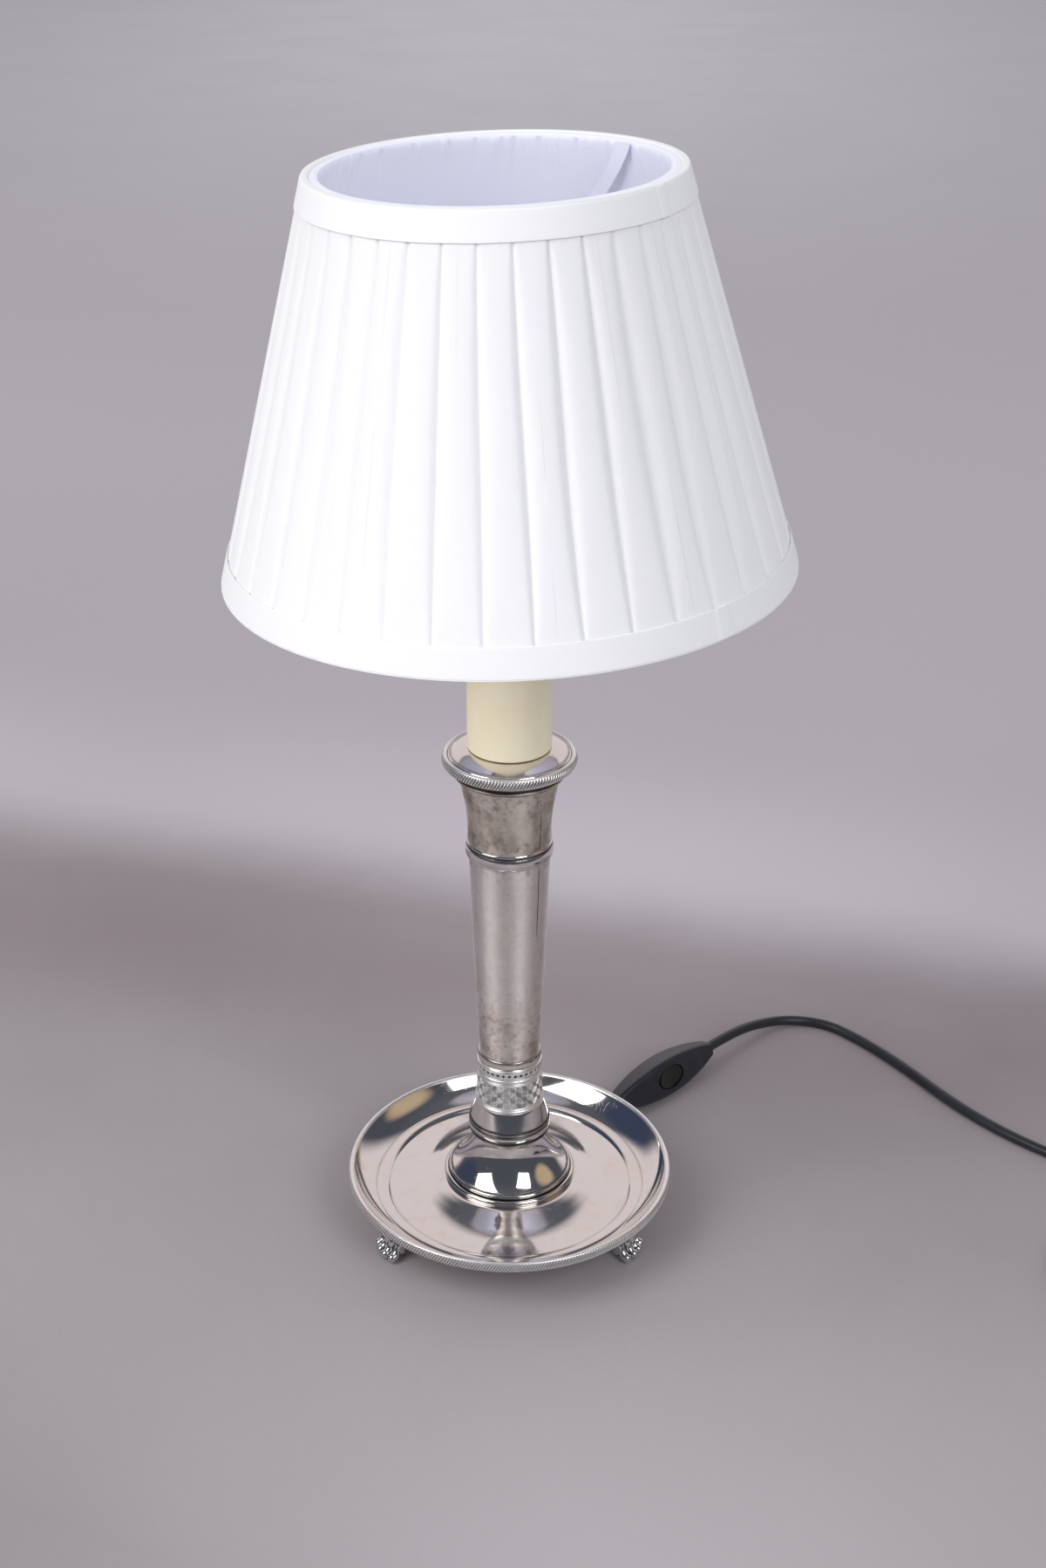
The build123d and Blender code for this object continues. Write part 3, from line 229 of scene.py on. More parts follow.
# Points of the circle through three points: centre from the two chords' middles.
def arcPoints(a, b, c, step=6.0, pitch=1.2):
    d = 2 * (a[0] * (b[1] - c[1]) + b[0] * (c[1] - a[1]) + c[0] * (a[1] - b[1]))
    squares = np.array([p @ p for p in (a, b, c)])
    centre = np.array([
        squares[0] * (b[1] - c[1]) + squares[1] * (c[1] - a[1]) + squares[2] * (a[1] - b[1]),
        squares[0] * (c[0] - b[0]) + squares[1] * (a[0] - c[0]) + squares[2] * (b[0] - a[0]),
    ]) / d
    radius = np.linalg.norm(a - centre)
    first, via, last = (math.atan2(*(p - centre)[::-1]) for p in (a, b, c))
    sweep = (last - first) % turn
    if (via - first) % turn > sweep:
        sweep -= turn
    count = max(5, int(abs(math.degrees(sweep)) / step), int(abs(sweep) * radius / pitch))
    angle = first + np.linspace(0, sweep, count + 1)
    return centre + radius * np.stack([np.cos(angle), np.sin(angle)], -1)


# A corner becomes five points of a parabola that starts and ends the same distance from it.
def roundCorners(points, corner, edge, closed):
    before, after = np.roll(points, 1, 0), np.roll(points, -1, 0)
    out = []
    for k, here in enumerate(points):
        lone = not closed and k in (0, len(points) - 1)
        a, b = before[k] - here, after[k] - here
        la, lb = np.linalg.norm(a), np.linalg.norm(b)
        bend = math.degrees(math.acos(np.clip(-(a @ b) / (la * lb + 1e-12), -1, 1)))
        if lone or not corner[k] or bend < 25:
            out.append(here)
            continue
        reach = edge * math.tan(math.radians(bend / 2)) if bend < 120 else edge
        reach = min(reach, 0.45 * la, 0.45 * lb)
        t = np.linspace(0, 1, 5)[:, None]
        p, q = here + a / la * reach, here + b / lb * reach
        out.extend((1 - t) ** 2 * p + 2 * t * (1 - t) * here + t**2 * q)
    return np.array(out)


# A grid of points, rows by columns, as a surface of quads that closes on itself round the columns;
# where the rows stay open, a fan can close each end.
def surface(grid, wrapRows=False, capped=False):
    rows, columns = grid.shape[:2]
    r, c = np.meshgrid(np.arange(rows if wrapRows else rows - 1), np.arange(columns), indexing="ij")
    r, c = r.ravel(), c.ravel()
    r2, c2 = (r + 1) % rows, (c + 1) % columns
    quads = np.stack([r * columns + c, r * columns + c2, r2 * columns + c2, r2 * columns + c], 1)
    steps = np.linalg.norm(np.diff(grid, axis=0, append=grid[:1]), axis=2).mean(1)
    along = np.concatenate([[0], np.cumsum(steps)])
    steps = np.linalg.norm(np.diff(grid, axis=1, append=grid[:, :1]), axis=2).max(0)
    across = np.concatenate([[0], np.cumsum(steps)])
    uv = np.stack([
        np.stack([across[c], along[r]], 1), np.stack([across[c + 1], along[r]], 1),
        np.stack([across[c + 1], along[r + 1]], 1), np.stack([across[c], along[r + 1]], 1),
    ], 1)
    points = grid.reshape(-1, 3)
    fans = np.zeros((0, 3), int)
    if capped:
        ring = np.arange(columns)
        hub = len(points)
        last = (rows - 1) * columns
        fans = np.concatenate([
            np.stack([(ring + 1) % columns, ring, np.full(columns, hub)], 1),
            np.stack([last + ring, last + (ring + 1) % columns, np.full(columns, hub + 1)], 1),
        ])
        points = np.concatenate([points, grid[0].mean(0)[None], grid[-1].mean(0)[None]])
    uvFans = np.zeros((len(fans), 3, 2))
    a, b, d, e = (points[quads[:, k]] for k in range(4))
    volume = np.einsum("ij,ij->", a, np.cross(b, d)) + np.einsum("ij,ij->", a, np.cross(d, e))
    if len(fans):
        a, b, d = (points[fans[:, k]] for k in range(3))
        volume += np.einsum("ij,ij->", a, np.cross(b, d))
    if volume < 0:
        quads, uv, fans = quads[:, ::-1], uv[:, ::-1], fans[:, ::-1]
    return points, quads, uv, fans, uvFans


# Radii and heights carried round Z by the angles, as a grid of points.
def aroundAxis(r, z, angle):
    return np.stack(np.broadcast_arrays(r * np.cos(angle), r * np.sin(angle), z + 0 * angle), -1)


# An outline in (r, z) carried round Z; wobble(angle, r, z) moves r and z; open ends are capped.
def revolved(profile, segments, wobble=None, openEnds=False):
    angle = np.arange(segments) / segments * turn
    r, z = profile[:, :1] + 0 * angle, profile[:, 1:] + 0 * angle
    if wobble:
        r, z = wobble(angle + 0 * r, r, z)
    return surface(aroundAxis(r, z, angle), wrapRows=not openEnds, capped=openEnds)


# A round tube along a path: rings square to the path, turned as little as the path allows.
def tube(path, radius, segments=24, roundEnds=False, flat=1.0, side=(0, 0, 1)):
    path, radius = np.array(path, float), np.broadcast_to(np.array(radius, float), len(path)).copy()
    if roundEnds:
        cap = np.linspace(0, math.pi / 2, 7)[:-1]
        start, end = path[0] - path[1], path[-1] - path[-2]
        start, end = start / np.linalg.norm(start), end / np.linalg.norm(end)
        head = path[0] + start * radius[0] * np.cos(cap)[:, None]
        foot = path[-1] + end * radius[-1] * np.cos(cap[::-1])[:, None]
        path = np.concatenate([head, path, foot])
        radius = np.concatenate([
            radius[0] * np.sin(cap) + 1e-3, radius, radius[-1] * np.sin(cap[::-1]) + 1e-3
        ])
    tangent = np.gradient(path, axis=0)
    tangent /= np.linalg.norm(tangent, axis=1)[:, None]
    normal = np.zeros_like(path)
    here = np.array(side, float)
    for k, t in enumerate(tangent):
        here = here - t * (here @ t)
        here /= np.linalg.norm(here)
        normal[k] = here
    binormal = np.cross(tangent, normal)
    angle = np.arange(segments) / segments * turn
    grid = path[:, None] + radius[:, None, None] * (
        np.cos(angle)[None, :, None] * normal[:, None] * flat
        + np.sin(angle)[None, :, None] * binormal[:, None]
    )
    return surface(grid, capped=True)


# One mesh object from surfaces; the patina is one value for each point.
def makePiece(name, surfaces, finish, slot, body="stand", replaces=(), smoothTo=35, patina=None):
    points = np.concatenate([s[0] for s in surfaces]) * mm
    starts = np.cumsum([0] + [len(s[0]) for s in surfaces[:-1]])
    quads = np.concatenate([s[1] + n for s, n in zip(surfaces, starts)])
    fans = np.concatenate([s[3] + n for s, n in zip(surfaces, starts)])
    uv = np.concatenate([s[k].reshape(-1, 2) for k in (2, 4) for s in surfaces])
    mesh = bpy.data.meshes.new(name)
    mesh.vertices.add(len(points))
    mesh.vertices.foreach_set("co", points.ravel())
    mesh.loops.add(quads.size + fans.size)
    corners = np.concatenate([quads.ravel(), fans.ravel()])
    mesh.loops.foreach_set("vertex_index", corners.astype(np.int32))
    mesh.polygons.add(len(quads) + len(fans))
    mesh.polygons.foreach_set("loop_start", np.concatenate([
        np.arange(len(quads)) * 4, quads.size + np.arange(len(fans)) * 3
    ]).astype(np.int32))
    mesh.update(calc_edges=True)
    layer = mesh.uv_layers.new(name="UVMap")
    layer.data.foreach_set("uv", (uv * 0.1).ravel().astype(np.float32))
    if patina is not None:
        stain(mesh, patina)
    mesh.shade_smooth()
    mesh.set_sharp_from_angle(angle=math.radians(smoothTo))
    mesh.validate()
    return placed(bpy.data.objects.new(name, mesh), finish, slot, body, replaces)


def stain(mesh, patina):
    item = mesh.attributes.new("patina", "FLOAT", "POINT")
    item.data.foreach_set("value", np.asarray(patina, np.float32).ravel())


def placed(piece, finish, slot, body, replaces=()):
    if not piece.users_collection:
        bpy.context.scene.collection.objects.link(piece)
    if finish:
        piece.data.materials.clear()
        piece.data.materials.append(finish)
    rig.ride(piece, body)
    if slot:
        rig.slot(piece, slot)
    if replaces:
        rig.replaces(piece, *replaces)
    return piece


# A node by its kind; inputs are named, or numbered as i0, i1; a socket links, a value is set.
def addNode(tree, kind, settings=None, **inputs):
    item = tree.nodes.new("ShaderNode" + kind)
    for key, value in (settings or {}).items():
        setattr(item, key, value)
    for key, value in inputs.items():
        socket = item.inputs[int(key[1:]) if key[1:].isdigit() else key.replace("_", " ")]
        if isinstance(value, bpy.types.NodeSocket):
            tree.links.new(value, socket)
        else:
            socket.default_value = value
    return item


def maths(tree, operation, a, b=0.0, c=0.0):
    return addNode(tree, "Math", {"operation": operation}, i0=a, i1=b, i2=c).outputs[0]


def times(tree, a, b):
    return maths(tree, "MULTIPLY", a, b)


# The base plus each value times its own amount.
def summed(tree, base, *shares):
    for value, amount in shares:
        base = maths(tree, "MULTIPLY_ADD", value, amount, base)
    return base


# From low to high, smoothly, as start to end.
def spread(tree, value, low, high, start=0.0, end=1.0):
    return addNode(
        tree, "MapRange", {"interpolation_type": "SMOOTHSTEP"},
        Value=value, From_Min=low, From_Max=high, To_Min=start, To_Max=end,
    ).outputs[0]


def fading(tree, value, low, high):
    return spread(tree, value, low, high, 1.0, 0.0)


def coordinate(tree, kind="Object"):
    return addNode(tree, "TexCoord").outputs[kind]


def apart(tree, vector):
    return addNode(tree, "SeparateXYZ", None, Vector=vector).outputs


def noiseAt(tree, place, scale, detail=2.0, roughness=0.5):
    return addNode(
        tree, "TexNoise", None, Vector=place, Scale=scale, Detail=detail, Roughness=roughness,
    ).outputs[0]


# A shader group: named number inputs with their usual values, and named outputs made by build.
def newGroup(name, inputs, outputs, build):
    tree = bpy.data.node_groups.new(name, "ShaderNodeTree")
    add = tree.interface.new_socket
    for key, value in inputs.items():
        add(key, in_out="INPUT", socket_type="NodeSocketFloat").default_value = value
    for key in outputs:
        add(key, in_out="OUTPUT", socket_type="NodeSocketFloat")
    entry, leave = tree.nodes.new("NodeGroupInput"), tree.nodes.new("NodeGroupOutput")
    for key, value in build(tree, entry.outputs).items():
        tree.links.new(value, leave.inputs[key])
    return tree


# The piece's own coordinates, turned when asked, times a scale across and a scale along Z.
def stretched(tree, across, along, turned=0.0):
    place = coordinate(tree)
    if turned:
        angles = (turned, turned * 0.7, turned * 1.3)
        place = addNode(tree, "Mapping", None, Vector=place, Rotation=angles).outputs[0]
    scale = addNode(tree, "CombineXYZ", None, X=across, Y=across, Z=along).outputs[0]
    return addNode(tree, "VectorMath", {"operation": "MULTIPLY"}, i0=place, i1=scale).outputs[0]


def buildClouds(tree, given):
    noise = noiseAt(tree, coordinate(tree), given["Scale"], 5.0, 0.6)
    return {"Mask": spread(tree, noise, given["Low"], given["High"])}


def buildBrushing(tree, given):
    noise = noiseAt(tree, stretched(tree, given["Across"], given["Along"]), 1.0, 3.0, 0.65)
    return {"Mask": spread(tree, noise, 0.3, 0.7)}


# Hair lines: thin bands where a stretched noise crosses its middle, kept where a second is high.
def buildScratches(tree, given):
    found = 0.0
    for turned in (0.5, 2.1, 3.9):
        place = stretched(tree, given["Scale"], times(tree, given["Scale"], 0.014), turned)
        off = maths(tree, "ABSOLUTE", maths(tree, "SUBTRACT", noiseAt(tree, place, 1.0, 0.0), 0.5))
        rare = noiseAt(tree, coordinate(tree), 60.0 + turned * 17)
        line = times(tree, fading(tree, off, 0.0, given["Width"]), spread(tree, rare, 0.56, 0.68))
        found = maths(tree, "MAXIMUM", found, line)
    return {"Mask": found}


# Plain weave on the UV map, in threads of the given pitch in centimetres.
def buildWeave(tree, given):
    where = apart(tree, coordinate(tree, "UV"))
    rate = maths(tree, "DIVIDE", math.pi, given["Pitch"])
    warp, weft = (maths(tree, "SINE", times(tree, where[k], rate)) for k in range(2))
    threads = maths(tree, "ADD", maths(tree, "ABSOLUTE", warp), maths(tree, "ABSOLUTE", weft))
    over = times(tree, times(tree, warp, weft), 0.5)
    slub = noiseAt(tree, coordinate(tree, "UV"), 6.0, 3.0)
    return {
        "Height": summed(tree, over, (threads, 0.5), (slub, 0.4)),
        "Gap": summed(tree, 1.0, (threads, -0.5)),
    }


# Dirt in the hollows, from the piece's own patina attribute, broken up by a noise.
def buildCavity(tree, given):
    patina = addNode(tree, "Attribute", {"attribute_name": "patina"}).outputs["Fac"]
    noise = noiseAt(tree, coordinate(tree), 420.0, 3.0)
    broken = times(tree, patina, summed(tree, 0.55, (noise, 0.9)))
    return {"Mask": spread(tree, times(tree, broken, given["Strength"]), 0.05, 0.95)}


clouds = newGroup("clouds", {"Scale": 40.0, "Low": 0.4, "High": 0.7}, ["Mask"], buildClouds)
brushing = newGroup("brushing", {"Across": 8.0, "Along": 2500.0}, ["Mask"], buildBrushing)
scratches = newGroup("scratches", {"Scale": 900.0, "Width": 0.006}, ["Mask"], buildScratches)
weave = newGroup("weave", {"Pitch": 0.035}, ["Height", "Gap"], buildWeave)
cavity = newGroup("cavity", {"Strength": 1.0}, ["Mask"], buildCavity)


def placeGroup(tree, group, output, **values):
    item = tree.nodes.new("ShaderNodeGroup")
    item.node_tree = group
    for key, value in values.items():
        item.inputs[key].default_value = value
    return item.outputs[output]


def cloudy(tree, scale, low, high):
    return placeGroup(tree, clouds, "Mask", Scale=scale, Low=low, High=high)


def scratched(tree, scale, width):
    return placeGroup(tree, scratches, "Mask", Scale=scale, Width=width)


# A colour mixed towards others in turn, each by its own mask times its amount.
def layered(tree, base, *coats):
    for mask, amount, colour in coats:
        if amount != 1:
            mask = times(tree, mask, amount)
        item = addNode(tree, "Mix", {"data_type": "RGBA"}, i0=mask, i7=(*colour, 1))
        if isinstance(base, tuple):
            item.inputs[6].default_value = (*base, 1)
        else:
            tree.links.new(base, item.inputs[6])
        base = item.outputs[2]
    return base


def newFinish(name, **values):
    made = bpy.data.materials.new(name)
    made.use_nodes = True
    shader = made.node_tree.nodes["Principled BSDF"]
    for key, value in values.items():
        shader.inputs[key.replace("_", " ")].default_value = value
    return made, made.node_tree, shader


def finished(tree, shader, colour, roughness, height, distance):
    bump = addNode(tree, "Bump", None, Height=height, Distance=distance, Strength=1.0)
    tree.links.new(colour, shader.inputs["Base Color"])
    tree.links.new(roughness, shader.inputs["Roughness"])
    tree.links.new(bump.outputs[0], shader.inputs["Normal"])


# Polished plate: faint warm clouds, hair lines, black in the hollows.
def polishedSilver(name, base, warm, dull, tarnish, grime=1.15, depth=0.93):
    made, tree, shader = newFinish(name, Metallic=1.0)
    haze, film = cloudy(tree, 34.0, 0.42, 0.72), cloudy(tree, 140.0, 0.52, 0.75)
    lines = scratched(tree, 420.0, 0.008)
    dirt = placeGroup(tree, cavity, "Mask", Strength=grime)
    black = (0.04, 0.038, 0.042)
    colour = layered(tree, base, (haze, 0.55, warm), (film, 0.25, tarnish), (dirt, depth, black))
    rough = summed(tree, dull, (haze, 0.06), (film, 0.05), (lines, 0.10), (dirt, 0.35))
    height = maths(tree, "SUBTRACT", times(tree, film, 0.5), lines)
    finished(tree, shader, colour, rough, height, 0.000006)
    return made


silverPlate = polishedSilver(
    "silverPlate", (0.80, 0.765, 0.735), (0.76, 0.705, 0.65), 0.065, (0.62, 0.56, 0.50),
)
chasedSilver = polishedSilver(
    "chasedSilver", (0.93, 0.92, 0.90), (0.86, 0.83, 0.79), 0.36, (0.62, 0.58, 0.53), 1.6, 0.96,
)
castSilver = polishedSilver(
    "castSilver", (0.72, 0.72, 0.72), (0.62, 0.60, 0.58), 0.12, (0.40, 0.38, 0.36), 1.5, 0.97,
)


# Brushed plate: lines round the column, brown tarnish in clouds that gather at the given height,
# an open seam down one side, pits; the highlight runs up and down, across the lines.
def brushedSilver(name, base, brown, deep, tarnish, seam, roughness, pits):
    made, tree, shader = newFinish(name, Metallic=1.0, Anisotropic=0.78, Anisotropic_Rotation=0.25)
    tangent = addNode(tree, "Tangent", {"direction_type": "RADIAL", "axis": "Z"})
    tree.links.new(tangent.outputs[0], shader.inputs["Tangent"])
    x, y, up = apart(tree, coordinate(tree))
    rings = placeGroup(tree, brushing, "Mask", Across=9.0, Along=3200.0)
    grain = placeGroup(tree, brushing, "Mask", Across=420.0, Along=60.0)
    lines = scratched(tree, 520.0, 0.010)
    foot = fading(tree, up, tarnish["low"] * mm, tarnish["lowEnd"] * mm)
    near = maths(
        tree, "MAXIMUM", foot, spread(tree, up, tarnish["high"] * mm, tarnish["highEnd"] * mm)
    )
    blot = cloudy(tree, tarnish["scale"], 0.40, 0.70)
    blot = times(tree, blot, summed(tree, tarnish["all"], (near, 1.0 - tarnish["all"])))
    fine = cloudy(tree, tarnish["scale"] * 5, 0.45, 0.75)
    fine = times(tree, fine, summed(tree, 0.2, (near, 0.6)))
    wander = summed(tree, seam["azimuth"], (cloudy(tree, 90.0, 0.3, 0.7), 0.02))
    aside = maths(tree, "ABSOLUTE", maths(tree, "ADD", maths(tree, "ARCTAN2", y, x), wander))
    split = fading(tree, aside, 0.004, seam["width"])
    split = times(tree, split, spread(tree, up, seam["low"] * mm, (seam["low"] + 6) * mm))
    split = times(tree, split, fading(tree, up, (seam["high"] - 4) * mm, seam["high"] * mm))
    pit = addNode(tree, "TexVoronoi", {"feature": "F1"}, Vector=coordinate(tree), Scale=pits)
    pit = fading(tree, pit.outputs["Distance"], 0.03, 0.055)
    gone = maths(tree, "MAXIMUM", split, times(tree, pit, cloudy(tree, 55.0, 0.55, 0.6)))
    colour = layered(
        tree, base, (grain, 0.22, brown), (blot, 0.8, brown), (fine, 0.7, deep),
        (lines, 0.35, deep), (gone, 1, (0.05, 0.04, 0.035)),
        (placeGroup(tree, cavity, "Mask", Strength=1.2), 0.9, (0.05, 0.045, 0.042)),
    )
    rough = summed(tree, roughness, (rings, 0.07), (blot, 0.10), (fine, 0.08))
    height = summed(tree, times(tree, grain, 0.3), (rings, 0.25))
    cut = maths(tree, "MAXIMUM", times(tree, lines, 0.6), times(tree, gone, 4.0))
    finished(tree, shader, colour, rough, maths(tree, "SUBTRACT", height, cut), 0.00002)
    return made


brushedPlate = brushedSilver(
    "brushedPlate", (0.90, 0.85, 0.835), (0.66, 0.56, 0.49), (0.26, 0.19, 0.15),
    {"scale": 55.0, "low": 112.0, "lowEnd": 150.0, "high": 198.0, "highEnd": 206.0, "all": 0.35},
    {"azimuth": 0.76, "width": 0.022, "low": 166.0, "high": 206.0}, 0.52, 160.0,
)
capitalPlate = brushedSilver(
    "capitalPlate", (0.86, 0.79, 0.71), (0.40, 0.32, 0.25), (0.11, 0.085, 0.07),
    {"scale": 70.0, "low": 216.0, "lowEnd": 228.0, "high": 226.0, "highEnd": 240.0, "all": 1.0},
    {"azimuth": 0.76, "width": 0.018, "low": 212.0, "high": 233.0}, 0.42, 230.0,
)


# Cloth: a plain weave with slubs, gaps a little darker, faint clouds, a soft sheen; glow is painted light,
# an even glow in the shadow colour for the daylight that comes through it.
def wovenCloth(name, base, shadow, pitch, sheen, distance, roughness, glow=0.0):
    made, tree, shader = newFinish(
        name, Sheen_Weight=sheen, Sheen_Roughness=0.5, Specular_IOR_Level=0.25,
        Emission_Color=(*shadow, 1), Emission_Strength=glow,
    )
    height, gap = (placeGroup(tree, weave, output, Pitch=pitch) for output in ("Height", "Gap"))
    soft, speck = cloudy(tree, 26.0, 0.4, 0.75), cloudy(tree, 900.0, 0.6, 0.8)
    colour = layered(tree, base, (gap, 0.5, shadow), (soft, 0.12, shadow), (speck, 0.25, shadow))
    finished(tree, shader, colour, summed(tree, roughness, (soft, 0.1)), height, distance)
    return made


# The last number of pleatCloth and liningCloth is their painted glow.
pleatCloth = wovenCloth(
    "pleatCloth", (0.88, 0.885, 0.905), (0.78, 0.79, 0.85), 0.032, 0.12, 0.00007, 0.78, 0.03,
)
trimCloth = wovenCloth(
    "trimCloth", (0.895, 0.90, 0.925), (0.80, 0.81, 0.865), 0.026, 0.15, 0.00005, 0.7,
)
liningCloth = wovenCloth(
    "liningCloth", (0.84, 0.85, 0.955), (0.76, 0.78, 0.92), 0.022, 0.1, 0.00003, 0.55, 0.07,
)


# Even materials: base and second colour in clouds, a fine grain in roughness and height.
def grained(name, base, second, roughness, grain, distance, amount=0.6, dust=0.0, **values):
    made, tree, shader = newFinish(name, **values)
    patch, fine = cloudy(tree, grain / 18, 0.38, 0.72), cloudy(tree, grain, 0.3, 0.7)
    lines, speck = scratched(tree, 800.0, 0.006), cloudy(tree, grain * 0.8, 0.68, 0.74)
    colour = layered(
        tree, base, (patch, amount, second), (fine, amount * 0.35, second),
        (speck, dust, (0.45, 0.44, 0.43)),
    )
    rough = summed(tree, roughness, (fine, 0.06), (patch, 0.05), (lines, 0.12))
    height = maths(tree, "SUBTRACT", fine, times(tree, lines, 0.4))
    finished(tree, shader, colour, rough, height, distance)
    return made


sleeveCream = grained(
    "sleeveCream", (0.98, 0.905, 0.68), (0.94, 0.82, 0.55), 0.42, 900.0, 0.00003, 0.7,
)
whiteWire = grained("whiteWire", (0.86, 0.86, 0.87), (0.78, 0.78, 0.79), 0.34, 700.0, 0.00003)
whitePlastic = grained(
    "whitePlastic", (0.87, 0.86, 0.82), (0.81, 0.80, 0.75), 0.32, 1600.0, 0.00001,
)
zincSteel = grained(
    "zincSteel", (0.62, 0.62, 0.60), (0.48, 0.47, 0.43), 0.32, 1100.0, 0.00002, 0.8, Metallic=1.0,
)
brassMetal = grained(
    "brassMetal", (0.72, 0.54, 0.27), (0.55, 0.38, 0.17), 0.26, 900.0, 0.00002, 0.7, Metallic=1.0,
)
nickelMetal = grained(
    "nickelMetal", (0.72, 0.70, 0.66), (0.60, 0.57, 0.52), 0.2, 900.0, 0.00001, 0.7, Metallic=1.0,
)
ceramicWhite = grained(
    "ceramicWhite", (0.86, 0.84, 0.79), (0.80, 0.78, 0.72), 0.26, 800.0, 0.00002, Coat_Weight=0.4,
)
bulbPearl = grained(
    "bulbPearl", (0.93, 0.93, 0.92), (0.89, 0.89, 0.89), 0.22, 500.0, 0.00001, Subsurface_Weight=0.1,
)
blackCase = grained(
    "blackCase", (0.012, 0.014, 0.020), (0.020, 0.023, 0.031), 0.27, 1500.0, 0.00003, 0.7, 0.06,
)
blackGloss = grained(
    "blackGloss", (0.009, 0.010, 0.006), (0.014, 0.015, 0.009), 0.09, 900.0, 0.000006, 0.6, 0.03, Specular_IOR_Level=0.35,
)
blackLead = grained(
    "blackLead", (0.014, 0.016, 0.021), (0.024, 0.027, 0.034), 0.31, 1100.0, 0.00004, 0.7, 0.10,
)

# Camera, fitted to every measured rim of the photograph.

camera = bpy.data.objects.new("camera", bpy.data.cameras.new("camera"))
camera.data.lens = 50.136
camera.data.sensor_width = 36.0
camera.data.shift_x = 15.5 / 1798
camera.location = (0.0, -0.88285, 0.6898)
camera.rotation_euler = (math.radians(90 - 26.96), 0.0, 0.0)
camera.data.clip_end = 40
bpy.context.scene.collection.objects.link(camera)
bpy.context.scene.camera = camera

# The lead: the route's own points, millimetres.

lead = {
    "diameter": 5.4,
    "shortRoute": [
        (20.57, 28.32, 6.5), (27.33, 37.62, 6.5), (34.49, 48.17, 4.4), (41.66, 58.75, 6.9),
        (48.82, 69.30, 11.07), (57.01, 77.37, 11.07),
    ],
    "longRoute": [
        (108.99, 128.63, 11.07), (124.58, 144.01, 11.07), (140.2, 159.5, 7.0), (159.6, 169.6, 3.6),
        (181.3, 166.1, 2.7), (196.8, 150.6, 2.7), (210.4, 133.4, 2.7), (222.7, 115.2, 2.7),
        (234.1, 96.5, 2.7), (246.7, 78.6, 2.7), (261.1, 62.0, 2.7), (277.1, 47.0, 2.7),
        (294.6, 33.8, 2.7), (313.0, 21.8, 2.7), (330.1, 8.1, 2.7), (343.1, -9.6, 2.7),
        (350.9, -30.1, 2.7), (350.9, -52.0, 2.7),
    ],
    "tail": [(350.9, -72.79, 8.6), (350.9, -80.71, 6.8), (350.9, -87.75, 6.8)],
    "coilStart": (350.9, -57.4),
    "coilEnd": (350.9, -60.35),
    "lower": 2.7,
    "upper": 8.6,
    "coilOuter": 42.0,
    "coilStep": 1.475,
    "coilQuarters": 13,
    "pointsPerQuarter": 4,
    "pointsUp": 8,
}


# Quarter turns about centres that shift by the step, in on the table, half a turn up, out on top.
# A quadratic spline runs just inside its points, so they stand out by that share.
def coilPoints():
    stand = 1 / math.cos(math.radians(45 / lead["pointsPerQuarter"]))
    step, radius, angle, level = -lead["coilStep"], lead["coilOuter"], 0.0, lead["lower"]
    centre = np.array(lead["coilStart"]) - (radius, 0)
    points = []

    def ringPoints(at):
        return centre + radius * stand * np.stack([np.cos(at), np.sin(at)], -1)

    share = (np.arange(lead["pointsPerQuarter"]) + 0.5) / lead["pointsPerQuarter"]
    for layer in range(2):
        for quarter in range(lead["coilQuarters"]):
            ring = ringPoints(angle - share * math.pi / 2)
            points.append(np.column_stack([ring, np.full(len(share), level)]))
            angle -= math.pi / 2
            centre = centre - np.array([math.cos(angle), math.sin(angle)]) * step
            radius += step
        if layer == 0:
            climb = (np.arange(lead["pointsUp"]) + 0.5) / lead["pointsUp"]
            rise = (0.5 - 0.5 * np.cos(climb * math.pi)) * (lead["upper"] - level)
            points.append(np.column_stack([ringPoints(angle - climb * math.pi), level + rise]))
            centre = centre + np.array([math.cos(angle), math.sin(angle)]) * lead["coilStep"]
            angle -= math.pi
            radius, step, level = radius + lead["coilStep"], lead["coilStep"], lead["upper"]
    return np.concatenate(points)


def leadCurve(name, points):
    data = bpy.data.curves.new(name, "CURVE")
    data.dimensions = "3D"
    spline = data.splines.new("NURBS")
    spline.points.add(len(points) - 1)
    flat = np.column_stack([np.array(points) * mm, np.ones(len(points))])
    spline.points.foreach_set("co", flat.ravel())
    spline.order_u = 3
    spline.use_endpoint_u = True
    spline.resolution_u = 6
    data.bevel_depth = lead["diameter"] / 2 * mm
    data.bevel_resolution = 5
    data.use_fill_caps = True
    return bpy.data.objects.new(name, data)


shortLead = placed(
    leadCurve("leadToSwitch", lead["shortRoute"]), blackLead, "black_lead", "stand",
    ("cord_to_switch",),
)
longPoints = np.concatenate([
    lead["longRoute"], [(*lead["coilStart"], lead["lower"])], coilPoints(),
    [(*lead["coilEnd"], lead["upper"])], lead["tail"],
])
longLead = placed(
    leadCurve("leadFromSwitch", longPoints), blackLead, "black_lead", "stand",
    ("cord_from_switch", "cord_coil", "cord_tail"),
)
print("lead laid")

# Turned pieces of the foot and column.

dish = {
    "sheet": 1.2, "hole": 5.05, "seat": 32.8, "seatLevel": 26.0, "well": 59.8, "floorLevel": 19.4,
    "fall": [
        (0, 1), (0.12, 0.856), (0.27, 0.606), (0.42, 0.371), (0.565, 0.212), (0.71, 0.106),
        (0.86, 0.038), (1, 0),
    ],
    "rise": [
        (59.8, 0), (63.2, 1.6), (66.3, 1.0), (72.29, 4.9), (77.0, 10.3), (77.9, 10.3), (78.8, 10.3),
    ],
}


# A cubic from a to b with the slopes atA and atB.
def cubic(t, a, b, atA, atB):
    return (
        (2 * t**3 - 3 * t**2 + 1) * a + (t**3 - 2 * t**2 + t) * atA
        + (3 * t**2 - 2 * t**3) * b + (t**3 - t**2) * atB
    )


